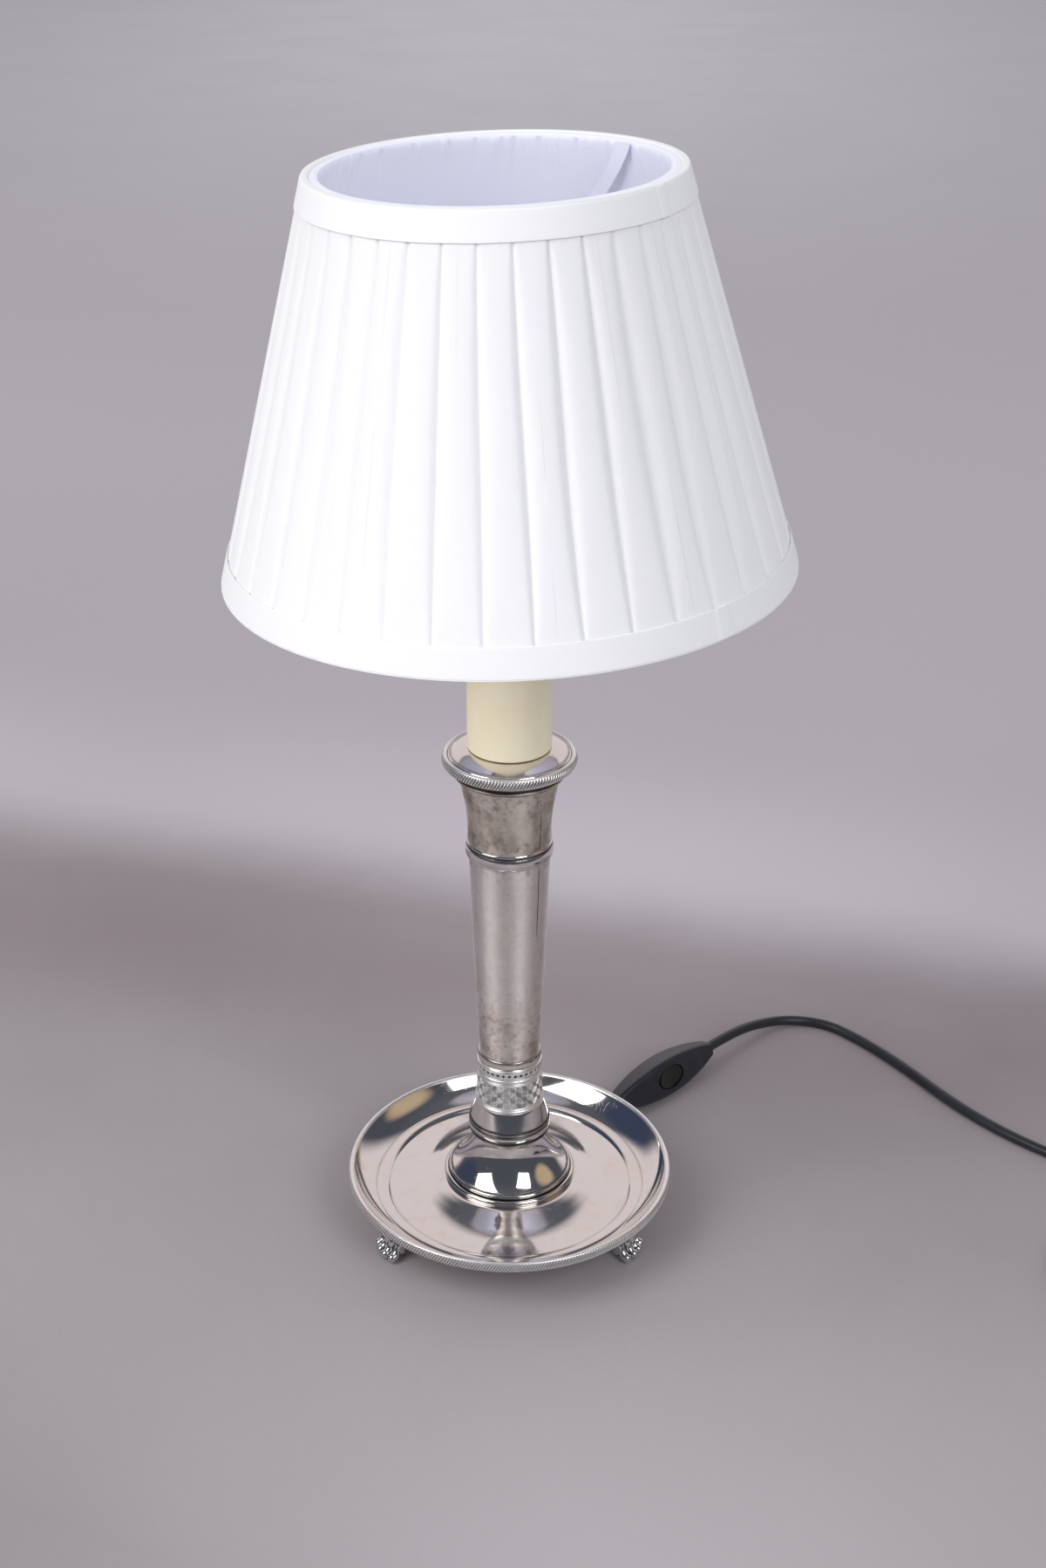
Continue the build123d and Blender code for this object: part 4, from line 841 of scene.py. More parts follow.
# A curve through values at whole steps: cubic with the slopes of the neighbours.
def smoothLine(values, fine, ends=None):
    slope = np.gradient(values)
    if ends:
        slope[0], slope[-1] = ends
    k = np.clip(fine.astype(int), 0, len(values) - 2)
    return cubic(fine - k, values[k], values[k + 1], slope[k], slope[k + 1])


# Upper line of the dish: flat seat, a well that falls to its line, a bead, a hollow wall, the edge.
def dishLine(drop):
    seat, floor = dish["seatLevel"] - drop, dish["floorLevel"] - drop
    out, down = np.array(dish["fall"]).T
    fine = np.linspace(0, len(out) - 1, 70)
    run = smoothLine(dish["seat"] + out * (dish["well"] - dish["seat"]), fine)
    level = smoothLine(floor + down * (seat - floor), fine, (-0.25, -0.22))
    well, bead, foot, hollow, lip, *edge = np.array(dish["rise"]) + (0, floor)
    return np.concatenate([
        np.column_stack([np.linspace(dish["hole"], dish["seat"], 22)[:-1], np.full(21, seat)]),
        np.column_stack([run, level]), arcPoints(well, bead, foot, 5)[1:],
        arcPoints(foot, hollow, lip, 1.5)[1:], edge,
    ])


# Dirt in a closed outline's hollows: the turn at each inward corner, faded over about a millimetre.
def hollowDirt(profile, segments, reach=0.7):
    before, after = profile - np.roll(profile, 1, 0), np.roll(profile, -1, 0) - profile
    (r, z), (rNext, zNext) = profile.T, np.roll(profile, -1, 0).T
    area = np.sum(r * zNext - rNext * z)
    cross = before[:, 0] * after[:, 1] - before[:, 1] * after[:, 0]
    bend = np.arctan2(cross, (before * after).sum(1))
    inward = np.clip(-np.sign(area) * bend, 0, None)
    away = np.linalg.norm(profile[:, None] - profile[None, :], axis=2)
    dirt = np.clip((inward[None, :] * np.exp(-((away / reach) ** 2))).sum(1), 0, 1)
    return np.repeat(dirt, segments)


upper = dishLine(0.0)
plate = np.concatenate([upper, dishLine(dish["sheet"])[::-1]])
makePiece(
    "dishPlate", [revolved(plate, 288)], silverPlate, "silver_plate", replaces=("dish",),
    patina=0.3 * hollowDirt(plate, 288),
)


# Twisted rope: lines that slant up to the right, each a rounded ridge, on a bulging band.
def ropeBand(start, bulge, end, inner, lines, slant, relief, rows=13, samples=10):
    face = arcPoints(np.array(start), np.array(bulge), np.array(end), 1)
    reach = np.linspace(0, 1, len(face))
    t = np.linspace(0, 1, rows)
    face = np.column_stack([np.interp(t, reach, face[:, k]) for k in (0, 1)])
    columns = lines * samples
    angle = np.arange(columns) / columns * turn
    phase = lines * angle[None, :] - slant * turn / 2 * (2 * t[:, None] - 1)
    ridge = np.abs(np.sin(phase / 2)) ** 1.1
    centre = np.array([(start[0] + end[0]) / 2 - 1.5, (start[1] + end[1]) / 2])
    outward = face - centre
    outward /= np.linalg.norm(outward, axis=1)[:, None]
    fall = relief * (1 - ridge) * np.sin(np.clip(t, 0.02, 0.98) * math.pi)[:, None] ** 0.3
    r = face[:, :1] - outward[:, :1] * fall
    z = face[:, 1:] - outward[:, 1:] * fall
    back = np.array(inner)
    r = np.concatenate([r, back[:, :1] + 0 * angle])
    z = np.concatenate([z, back[:, 1:] + 0 * angle])
    dirt = (1 - ridge) ** 1.8 * (0.6 + 0.4 * np.sin(t * math.pi))[:, None]
    patina = np.concatenate([0.75 * dirt, np.zeros((len(back), columns))])
    return surface(aroundAxis(r, z, angle), wrapRows=True), patina


ropes = {
    "dishRope": {
        "node": "dish_rope_rim", "face": ((78.8, 25.4), (80.0, 27.7), (79.5, 30.0)),
        "inner": [
            (79.3, 30.35), (78.98, 30.6), (78.55, 30.7), (78.1, 30.62), (77.65, 30.35), (77.3, 30.05),
            (77.05, 29.72), (77.9, 29.7), (78.8, 29.7), (78.8, 27.5),
        ],
        "lines": 336, "stain": 1.0,
    },
    "capitalRope": {
        "node": "capital_rope_rim", "face": ((29.4, 252.0), (30.8, 254.4), (30.2, 256.4)),
        "inner": [
            (29.95, 256.85), (29.5, 257.2), (29.0, 257.3), (28.5, 257.1), (28.15, 256.7),
            (28.15, 254.5), (29.4, 254.5),
        ],
        "lines": 130, "stain": 1.3,
    },
}
for name, rim in ropes.items():
    rope, patina = ropeBand(*rim["face"], rim["inner"], rim["lines"], slant=1.9, relief=0.55)
    makePiece(
        name, [rope], chasedSilver, "silver_plate", replaces=(rim["node"],), smoothTo=80,
        patina=rim["stain"] * patina,
    )

turnedPieces = {
    "bellFoot": ("bell_foot", silverPlate, outline(
        (31.4, 26.0), ((32.2, 27.6), (31.2, 29.1)), (29.6, 29.1), ((30.0, 30.2), (28.6, 31.3)),
        ((21.2, 39.8), (17.2, 52.8)), (15.9, 52.8), ((19.9, 39.0), (27.0, 30.0)), (28.6, 26.0),
    )),
    "knop": ("knop_ring", silverPlate, outline(
        (12.4, 51.2), (15.75, 51.2), (15.75, 52.8), (19.1, 52.8), ((19.7, 53.5), (19.1, 54.1)),
        ((20.0, 56.0), (19.5, 58.1)), (19.1, 58.4), ((19.8, 59.1), (19.2, 59.9)),
        ((17.7, 64.4), (16.0, 69.4)), (12.4, 69.4),
    )),
    "columnBase": ("stem_base_ring", silverPlate, outline(
        (11.2, 94.0), (15.1, 94.0), ((15.4, 95.9), (15.1, 97.8)), ((14.9, 98.5), (14.4, 98.6)),
        (12.85, 98.6), (12.85, 100.2), (11.2, 100.2),
    )),
    "column": ("stem_tube", brushedPlate, outline(
        (14.3, 98.6), ((16.9, 152.05), (18.8, 205.5)), (17.5, 205.5), ((15.6, 152.05), (13.0, 98.6)),
    )),
    "astragal": ("astragal_ring", silverPlate, outline(
        (14.5, 203.9), (17.35, 203.9), (17.35, 205.5), (19.0, 205.5), ((20.0, 206.3), (20.3, 207.9)),
        ((20.2, 210.5), (19.6, 211.8)), (19.5, 212.0), ((19.9, 212.8), (19.4, 213.6)),
        (17.95, 213.6), (17.95, 215.2), (14.5, 215.2),
    )),
    "capital": ("capital", capitalPlate, outline(
        (19.4, 213.6), ((19.85, 228.5), (21.7, 238.5)), ((22.8, 243.5), (24.8, 247.1)),
        ((25.7, 247.9), (25.0, 248.8)), ((26.2, 251.3), (29.4, 252.6)), (29.4, 254.5), (5.05, 254.5),
        (5.05, 253.2), (21.1, 253.2), ((19.3, 240.5), (18.1, 213.6)),
    )),
    "dripDisc": ("drip_disc", silverPlate, outline(
        (28.0, 254.5), (28.0, 256.4), ((27.7, 257.1), (26.8, 257.5)), ((22.8, 259.4), (18.1, 260.3)),
        (5.05, 260.3), (5.05, 259.1), (18.1, 259.1), ((22.8, 258.2), (26.8, 256.0)), (26.8, 254.5),
    )),
}
for name, (node, finish, profile) in turnedPieces.items():
    slot = "silver_plate" if finish is silverPlate else "brushed_plate"
    makePiece(
        name, [revolved(profile, 256)], finish, slot, replaces=(node,), patina=hollowDirt(profile, 256),
    )
print("turned pieces made")

# Cast collars.

lattice = {"round": 16, "low": 72.9, "high": 85.1, "relief": 0.4, "columns": 640, "rows": 98}


# Smooth step from 0 at low to 1 at high.
def ramp(value, low, high):
    t = np.clip((value - low) / (high - low), 0, 1)
    return t * t * (3 - 2 * t)


# Two families of diagonals make diamonds; thin grooves nest in each, round a flower of six petals.
def latticeRelief(angle, z):
    high = (z - lattice["low"]) / (lattice["high"] - lattice["low"]) * 2
    along = angle / turn * lattice["round"]
    a, b = (along + high) % 1 - 0.5, (along - high) % 1 - 0.5
    out = np.maximum(np.abs(a), np.abs(b)) * 2
    reach, petal = np.hypot(a + b, a - b), np.arctan2(a - b, a + b)
    groove = lambda value, middle, wide: np.exp(-(((value - middle) / wide) ** 2))
    cut = np.maximum.reduce([
        groove(out, 0.88, 0.05), 0.85 * groove(out, 0.66, 0.045),
        0.9 * groove(reach, 0.33 + 0.09 * np.cos(6 * petal), 0.05), 0.8 * groove(reach, 0.0, 0.07),
    ])
    inside = ramp(z, 72.7, 73.1) * (1 - ramp(z, 84.9, 85.3))
    return 1 - cut * inside


profile = outline(
    (16.2, 69.4), ((16.8, 70.5), (16.2, 71.6)), (16.25, 71.75), ((16.6, 72.1), (16.3, 72.5)),
    (16.15, 72.75), edge=0.05, closed=False,
)
z = np.linspace(72.8, 85.2, lattice["rows"])
wall = np.column_stack([16.2 - (z - 72.8) / 12.4 * 0.6, z])
top = outline(
    (15.6, 85.25), (15.25, 85.45), ((15.5, 85.75), (15.2, 86.05)), (15.15, 86.15),
    ((15.72, 87.2), (15.1, 88.4)), (12.4, 88.4), (12.4, 69.4), edge=0.05, closed=False, pitch=4,
)
profile = np.concatenate([profile, wall, top])
angle = np.arange(lattice["columns"]) / lattice["columns"] * turn
cut = np.zeros((len(profile), len(angle)))
cut[-len(top) - len(wall):-len(top)] = 1 - latticeRelief(angle[None, :], z[:, None])
grid = aroundAxis(profile[:, :1] - cut * lattice["relief"], profile[:, 1:], angle)
makePiece(
    "latticeCollar", [surface(grid, wrapRows=True)], chasedSilver, "silver_plate",
    replaces=("lattice_collar",), smoothTo=60, patina=0.7 * cut,
)

dots = {
    "count": 34, "radius": 15.6, "low": 88.9, "high": 93.5, "relief": 0.4, "columns": 816, "rows": 40,
}


# Punched marks in a row: a hollow with a small boss in it, between thin grooves.
def dotRelief(angle, z):
    middle = (dots["low"] + dots["high"]) / 2
    along = ((angle / turn * dots["count"]) % 1 - 0.5) * turn * dots["radius"] / dots["count"]
    up = z - middle
    reach = np.hypot(along, up * 1.15)
    petal = np.arctan2(up, along)
    mark = 1 - ramp(reach, 0.62 + 0.16 * np.cos(4 * petal), 0.98 + 0.16 * np.cos(4 * petal))
    boss = 1 - ramp(reach, 0.1, 0.3)
    edge = np.exp(-(((np.abs(up) - 1.75) / 0.14) ** 2))
    return 1 - np.maximum(mark * (1 - 0.6 * boss), 0.8 * edge)


z = np.linspace(dots["low"], dots["high"], dots["rows"])
wall = np.column_stack([dots["radius"] + 0 * z, z])
foot = np.array([(12.4, 88.4), (15.0, 88.4), (15.05, 88.6)])
top = np.array([(15.1, 93.65), (14.9, 93.8), (14.9, 94.0), (12.4, 94.0)])
profile = np.concatenate([foot, wall, top])
angle = np.arange(dots["columns"]) / dots["columns"] * turn
cut = np.zeros((len(profile), len(angle)))
cut[len(foot):-len(top)] = 1 - dotRelief(angle[None, :], z[:, None])
grid = aroundAxis(profile[:, :1] - cut * dots["relief"], profile[:, 1:], angle)
makePiece(
    "dottedCollar", [surface(grid, wrapRows=True)], chasedSilver, "silver_plate",
    replaces=("dotted_collar",), smoothTo=60, patina=0.8 * cut,
)
print("collars made")

# Paws.

paw = {
    "azimuths": {"Left": -150, "Right": -30, "Back": 90}, "toeLine": 71.3, "pitch": 4.45,
    "sole": 11.0, "voxel": 0.30, "groove": 0.03,
}


# Height of the dish's underside at a radius.
def dishUnderside(r):
    return np.interp(r, upper[:, 0], upper[:, 1]) - dish["sheet"]


# Four toes as tapering tubes with a ball and a knuckle, an ankle that spreads under the dish.
def pawSurfaces():
    parts = []
    for toe in range(4):
        aside = (toe - 1.5) * paw["pitch"]
        tip = paw["toeLine"] - 0.16 * aside**2 / paw["pitch"]
        path = np.array([
            (tip, aside, 2.75), (tip - 1.5, aside * 0.98, 3.6), (tip - 3.0, aside * 0.93, 6.0),
            (tip - 4.6, aside * 0.84, 8.6), (tip - 6.6, aside * 0.74, 12.0), (tip - 7.2, aside * 0.72, 16.0),
            (tip - 6.2, aside * 0.85, 20.0), (tip - 5.0, aside * 0.95, 24.0),
        ])
        fine = np.linspace(0, len(path) - 1, 40)
        radius = np.array([2.3, 2.25, 1.7, 2.1, 1.7, 1.4, 1.45, 1.6])
        path = np.column_stack([smoothLine(path[:, k], fine) for k in range(3)])
        parts.append(tube(path, smoothLine(radius, fine), 20, roundEnds=True, side=(0, 1, 0)))
    middle = paw["toeLine"] - paw["sole"] * 0.72
    rise = np.linspace(0.6, 30.0, 24)
    wide = np.interp(rise, [0, 4, 11, 17, 22, 30], [5.4, 5.0, 3.9, 4.2, 6.0, 8.4])
    lean = np.interp(rise, [0, 11, 17, 30], [-0.4, -0.8, -0.4, 1.6])
    path = np.column_stack([middle + lean, 0 * rise, rise])
    parts.append(tube(path, wide, 28, flat=0.78, side=(1, 0, 0)))
    return parts


def bakedMesh(piece):
    bpy.context.view_layer.update()
    graph = bpy.context.evaluated_depsgraph_get()
    return bpy.data.meshes.new_from_object(piece.evaluated_get(graph))


rough = makePiece("pawRough", pawSurfaces(), silverPlate, None)
remesh = rough.modifiers.new("remesh", "REMESH")
remesh.mode, remesh.voxel_size = "VOXEL", paw["voxel"] * mm
soften = rough.modifiers.new("soften", "SMOOTH")
soften.factor, soften.iterations = 0.5, 2
pawMesh = bakedMesh(rough)
bpy.data.objects.remove(rough)
points = np.zeros(len(pawMesh.vertices) * 3)
pawMesh.vertices.foreach_get("co", points)
points = points.reshape(-1, 3) / mm


# Dirt where a mesh is hollow: how far the neighbours stand out along the normal, spread twice.
def hollowMesh(mesh, points, full):
    ends, normals = np.zeros(len(mesh.edges) * 2, np.int32), np.zeros(len(points) * 3)
    mesh.edges.foreach_get("vertices", ends)
    mesh.vertex_normals.foreach_get("vector", normals)
    a, b = ends.reshape(-1, 2).T

    def blurred(values):
        total, count = np.zeros_like(values), np.zeros(len(values))
        for near, other in ((a, b), (b, a)):
            np.add.at(total, near, values[other])
            np.add.at(count, near, 1)
        return total / count.reshape((-1,) + (1,) * (values.ndim - 1))

    out = ((blurred(blurred(points)) - points) * normals.reshape(-1, 3)).sum(1)
    return ramp(blurred(blurred(blurred(out))), 0.15 * full, full)


pawPatina = hollowMesh(pawMesh, points, paw["groove"])
points[:, 2] = np.clip(points[:, 2], 0, None)
for place, azimuth in paw["azimuths"].items():
    mesh = pawMesh.copy()
    reach = np.hypot(points[:, 0], points[:, 1])
    z = np.minimum(points[:, 2], dishUnderside(reach) + 0.4)
    c, s = math.cos(math.radians(azimuth)), math.sin(math.radians(azimuth))
    x, y = points[:, 0], points[:, 1]
    spot = np.column_stack([x * c - y * s, x * s + y * c, z])
    mesh.vertices.foreach_set("co", (spot * mm).ravel())
    mesh.shade_smooth()
    mesh.name = "paw" + place
    # Patina in the paw's grooves, and the paw darker towards its top, under the dish.
    stain(mesh, np.maximum(pawPatina, 0.7 * ramp(z, 14, 19)))
    placed(
        bpy.data.objects.new("paw" + place, mesh), castSilver, "silver_plate", "stand",
        ("paw_foot_" + place.lower(),),
    )
print("paws made")

# Candle sleeve and lamp holder.

makePiece("candleSleeve", [revolved(outline(
    (17.1, 261.0), (17.5, 260.6), (18.7, 260.6), (19.1, 261.0), (19.1, 341.2), (17.1, 341.2),
    edge=0.3,
), 192)], sleeveCream, "ivory_tube", "sleeve", ("candle_tube",))

holder = {"thread": 1.6, "low": 366.5, "high": 385.5, "depth": 0.45}


# Thread: the skirt's radius falls by the depth along a helix of the given pitch.
def holderThread(angle, r, z):
    on = ramp(z, holder["low"] - 1, holder["low"])
    on = on * (1 - ramp(z, holder["high"], holder["high"] + 1))
    wave = 0.5 + 0.5 * np.cos((z / holder["thread"]) * turn - angle)
    return r - np.where(r > 19.2, on * wave * holder["depth"], 0), z


skirt = outline(
    (18.25, 347.0), (19.75, 347.0), (19.75, 362.2), (23.5, 362.2), (24.0, 362.7), (24.0, 364.2),
    (19.75, 364.2), (19.75, 386.0), ((18.85, 388.1), (16.75, 389.0)), (16.75, 387.5), (18.25, 385.6),
    pitch=0.4,
)
makePiece(
    "holderSkirt", [revolved(skirt, 96, holderThread)], whitePlastic, "white_plastic",
    replaces=("lampholder_skirt",),
)
print("sleeve and holder made")

# Bulb.

bulb = {
    "foot": 352.5, "capTop": 378.5, "neck": 14.2, "globe": 30.0, "centre": 426.5, "wall": 0.8,
    "join": 32, "pull": 34.0, "thread": 12.75, "threadDepth": 0.45, "threadPitch": 3.63,
}


# Neck, a hollow shoulder and a round globe, moved in by the wall.
def bulbLine(wall):
    globe, neck = bulb["globe"] - wall, bulb["neck"] - wall
    c, s = math.cos(math.radians(bulb["join"])), math.sin(math.radians(bulb["join"]))
    neckRun = cubic(
        np.linspace(0, 1, 26)[:, None], np.array([neck, bulb["capTop"] + 3.0]),
        np.array([globe * c, bulb["centre"] - globe * s]),
        np.array([0.0, bulb["pull"]]), np.array([s, c]) * bulb["pull"],
    )
    angle = np.radians(np.linspace(-bulb["join"], 89.3, 60))[1:]
    return np.concatenate([
        [(neck - 1.4, bulb["capTop"]), (neck - 0.5, bulb["capTop"] + 1.2)], neckRun,
        np.column_stack([globe * np.cos(angle), bulb["centre"] + globe * np.sin(angle)]),
    ])


glass = np.concatenate([bulbLine(0), bulbLine(bulb["wall"])[::-1]])
makePiece("bulbGlass", [revolved(glass, 128)], bulbPearl, "bulb_glass", "bulb", ("bulb_glass",))
z = np.linspace(bulb["foot"] + 6.5, bulb["capTop"] - 4.0, 90)
thread = bulb["thread"] + bulb["threadDepth"] * np.cos((z - z[0]) / bulb["threadPitch"] * turn)
foot, top = (0, bulb["foot"]), (0, bulb["capTop"])
cap = np.concatenate([
    np.array([(0.6, 0), (4.0, 0), (4.6, 0.3), (5.4, 1.4), (12.0, 5.0)]) + foot,
    np.column_stack([thread, z]),
    np.array([(13.2, -3.4), (13.2, -0.3), (12.9, 0), (12.2, 0)]) + top,
    np.array([(12.2, 7.2), (0.6, 7.2)]) + foot,
])
makePiece(
    "bulbCap", [revolved(cap, 96, openEnds=True)], nickelMetal, "nickel", "bulb", ("bulb_cap",),
)
print("bulb made")

# Shade, laid out on its own axis, which leans 2 degrees to the left.

shade = {
    "level": 347.3, "lean": 2.0, "foot": 124.4, "head": 77.7, "height": 168.6, "pleats": 38,
    "depth": 2.25, "depthAtTrim": 0.85, "cloth": 0.25, "crown": 0.95, "lining": 7.85,
    "liningSheet": 0.45, "binding": 0.8,
}
slope = (shade["foot"] - shade["head"]) / shade["height"]


def coneRadius(h):
    return shade["foot"] - slope * h


# Radius, azimuth and height on the leaning axis, as a point of the room.
def leaning(r, azimuth, h):
    c, s = math.cos(math.radians(shade["lean"])), math.sin(math.radians(shade["lean"]))
    x, y = r * np.cos(azimuth), r * np.sin(azimuth)
    return np.stack(np.broadcast_arrays(x * c - h * s, y, shade["level"] + x * s + h * c), -1)


# Pleats: each crease is a groove in the cone, narrow and shallow at the trims, deeper and wider
# at mid height; across it the depth falls away as a power of the distance from the crease.
def pleatGrid(samples=24, rows=44):
    q = np.arange(samples) / samples - 0.5
    share = q * (0.3 + 0.7 * (2 * np.abs(q)) ** 1.2)
    crease = np.arange(shade["pleats"])
    low, high = shade["crown"], shade["height"] - shade["crown"]
    t = np.linspace(0, 1, rows)
    h = (low + (high - low) * (t - 0.06 * np.sin(2 * math.pi * 2 * t) / 2))[:, None, None]
    u = (h - low) / (high - low)
    mid = np.clip(np.sin(math.pi * np.clip((h - 11) / (high - low - 21), 0, 1)), 0, 1) ** 0.6
    each = (1, len(crease), 1)
    wander = rng.normal(0, 0.5, each) * np.sin(math.pi * u)
    wander = wander + rng.normal(0, 0.3, each) * np.sin(2 * math.pi * u)
    deep = 1 + 0.16 * rng.normal(0, 1, each).clip(-1.6, 1.0)
    wide = 1 + 0.18 * rng.normal(0, 1, each).clip(-1.5, 1.5)
    radius = coneRadius(h) - shade["crown"]
    pitch = turn * radius / shade["pleats"]
    azimuth = (crease[None, :, None] + share[None, None, :]) / shade["pleats"] * turn
    d = share[None, None, :] * pitch
    w = (0.55 + 1.75 * mid) * wide
    w = np.where(d < 0, w * 0.8, w * 1.25)
    depth = shade["depthAtTrim"] + (shade["depth"] - shade["depthAtTrim"]) * mid
    fall = depth * np.minimum(deep, 1.0) * np.exp(-np.abs(d / w) ** 1.5)
    belly = 0.25 * mid * (0.5 + 0.5 * np.cos(share * turn))[None, None, :]
    fall = fall + belly * (1 - np.exp(-np.abs(d / w)))
    around = azimuth + wander / radius
    outside = radius - np.minimum(fall, shade["depth"] + 0.03)
    outside, around, h = (
        np.broadcast_to(item, (rows, len(crease), samples)).reshape(rows, -1)
        for item in (outside, around, h)
    )
    r = np.concatenate([outside, outside[::-1] - shade["cloth"]])
    return leaning(r, np.concatenate([around, around[::-1]]), np.concatenate([h, h[::-1]]))


makePiece(
    "shadePleats", [surface(pleatGrid(), wrapRows=True)], pleatCloth, "pleated_cloth", "shade",
    ("shade_pleats",), smoothTo=70,
)


# Lining: from under the rim's cap over the top wire, then down inside the struts; gathered into
# small folds at the rim that fade out below, and drawn in a little between the struts.
def liningGrid(columns=960, rows=46):
    azimuth = np.arange(columns) / columns * turn
    over = [(3.3, 0.9), (4.6, 0.35), (5.8, 0.30), (6.9, 0.65), (7.55, 1.5), (7.8, 3.0), (7.85, 5.0)]
    down = np.linspace(7.0, shade["height"] - 6.5, rows - len(over))
    inset = np.concatenate([[i for i, _ in over], np.full(len(down), shade["lining"])])
    h = shade["height"] - np.concatenate([[d for _, d in over], down])
    inset, h = inset[:, None], h[:, None]
    below = shade["height"] - h
    folds = sum(
        rng.normal(0, 1) * np.cos(k * azimuth + rng.uniform(0, turn))
        for k in rng.integers(18, 120, 16)
    ) / 3
    gather = ramp(np.abs(folds), 0.3, 1.9) * np.sign(folds)
    ripple = 0.8 * gather[None, :] * np.exp(-((below - 4.5) / 7.0) ** 2) * ramp(below, 0.7, 3.0)
    drawn = np.sin(math.pi * np.clip(h, 0, None) / shade["height"])
    ripple = ripple + 0.35 * np.cos(8 * azimuth + math.pi) * drawn
    r = coneRadius(h) - (inset + ripple + shade["liningSheet"])
    r = np.concatenate([r, (r + shade["liningSheet"])[::-1]])
    h = np.concatenate([h, (h - 0.35 * np.exp(-((below / 1.6) ** 2)))[::-1]])
    return leaning(r, azimuth[None, :], h)


makePiece(
    "shadeLining", [surface(liningGrid(), wrapRows=True)], liningCloth, "lining_cloth", "shade",
    ("shade_lining",),
)


trims = {
    "topTrim": {
        "node": "shade_top_trim", "edge": shade["height"], "leg": 12.0, "side": -1, "joint": -38,
        "fold": 3.2, "foldLeg": 1.1,
    },
    "bottomTrim": {
        "node": "shade_bottom_trim", "edge": 0.0, "leg": 13.0, "side": 1, "joint": -48,
        "fold": 7.7, "foldLeg": 8.0,
    },
}


# Binding folded over an edge: outer leg, cap, inner leg; side is 1 at the foot, -1 at the head.
def trimGrid(edge, leg, side, joint, fold, foldLeg, columns=760):
    b = shade["binding"]
    cap, tip, back = edge + b * side, edge + leg * side, edge + foldLeg * side
    line = outline(
        (0.0, edge + 1.2 * side), ((-0.35, edge + 0.35 * side), (-1.2, edge)), (-fold, edge),
        (-fold - b, edge + 0.6 * side), (-fold - b, back), (-fold, back), (-fold, cap), (-b, cap),
        (-b, tip), (0.0, tip), edge=0.3, pitch=1.6,
    )
    azimuth = np.arange(columns) / columns * turn
    inset, h = line[:, :1], line[:, 1:]
    noise = sum(
        rng.normal(0, 1) * np.cos(k * azimuth + rng.uniform(0, turn)) / k**0.7
        for k in range(5, 60, 3)
    ) * 0.16
    atTip = ramp(np.abs(h - edge), 0.35 * leg, leg) * (inset > -b - 0.1)
    h = h + atTip * noise * 0.45 * side
    away = (azimuth - math.radians(joint) + math.pi) % turn - math.pi
    lap = ramp(away * 1000, 0, 12) * (1 - ramp(away, 0.055, 0.085))
    outside = (inset > -0.45) & (np.abs(h - edge) > 0.3)
    puff = np.where(outside, 0.35 * lap[None, :] - 0.3 + 0.06 * noise, 0)
    return leaning(coneRadius(h) + inset + puff, azimuth[None, :], h)


for name, trim in trims.items():
    node, *given = trim.values()
    makePiece(
        name, [surface(trimGrid(*given), wrapRows=True)], trimCloth, "binding_cloth", "shade",
        (node,), smoothTo=50,
    )

tape = {
    "wide": 9.0, "sheet": 0.45, "long": 27.0, "start": 39.5, "swing": 17.0, "inset": 8.9,
    "inward": 3.2, "wave": 0.8,
}


# Loose tape: a strip from the top edge down, its tail swung round, with slow waves in it.
def tapeGrid(rows=40, columns=9):
    t, s = np.linspace(0, 1, rows)[:, None], np.linspace(-0.5, 0.5, columns)[None, :]
    h = shade["height"] - 0.9 - tape["long"] * t
    azimuth = math.radians(tape["start"]) + math.radians(tape["swing"]) * t**1.2
    azimuth = azimuth + s * tape["wide"] / coneRadius(h)
    wave = tape["wave"] * np.sin(5.0 * t + 1.2 * s) * t
    r = coneRadius(h) - (tape["inset"] + tape["inward"] * t + wave)
    front, behind = leaning(r, azimuth, h), leaning(r - tape["sheet"], azimuth, h)
    return np.concatenate([front, behind[:, ::-1]], 1)


makePiece(
    "liningTape", [surface(tapeGrid(), capped=True)], liningCloth, "binding_cloth", "shade",
    ("lining_tape",), smoothTo=50,
)
print("shade made")

# Strain reliefs: a taper from start along an azimuth, with a groove at each pitch between the
# ends, where the cosine along it is above the share.

reliefs = {
    "outletRelief": {
        "node": "strain_relief", "start": (7.638725, 10.521626, 6.5), "azimuth": 54, "rings": 120,
        "taper": ([0, 5.5, 22.0], [5.0, 4.25, 3.5]), "pitch": 2.2, "share": 0.35, "ends": (2, 20),
    },
    "plugRelief": {
        "node": "plug_relief", "start": (350.9, -87.75, 6.8), "azimuth": -90, "rings": 110,
        "taper": ([0, 20.0], [3.4, 4.6]), "pitch": 2.4, "share": 0.3, "ends": (1.5, 18),
    },
}
for name, relief in reliefs.items():
    azimuth, (first, last) = math.radians(relief["azimuth"]), relief["ends"]
    along = np.linspace(0, relief["taper"][0][-1], relief["rings"])
    grooves = (np.cos(along / relief["pitch"] * turn) > relief["share"])
    grooves = grooves * (along > first) * (along < last)
    radius = np.interp(along, *relief["taper"]) - 0.35 * grooves
    away = np.array([math.cos(azimuth), math.sin(azimuth), 0.0]) * along[:, None]
    makePiece(
        name, [tube(relief["start"] + away, radius, 32)], blackCase, "black_plastic",
        replaces=(relief["node"],),
    )

# Cloth: the pleated cover, its lining and its two bindings, as they were cut.

cloths = {
    "shadePleats": ((0.80, 0.175), "gathered", None),
    "shadeLining": ((0.74, 0.19), "stretched", 0.112),
    "topTrim": ((0.49, 0.018), "folded", None),
    "bottomTrim": ((0.785, 0.031), "folded", None),
}
for name, (flat, held, area) in cloths.items():
    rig.sheet(
        bpy.data.objects[name], flat=flat, held=held, area=area,
        rests_on=["shade_top_wire", "shade_bottom_wire"],
    )

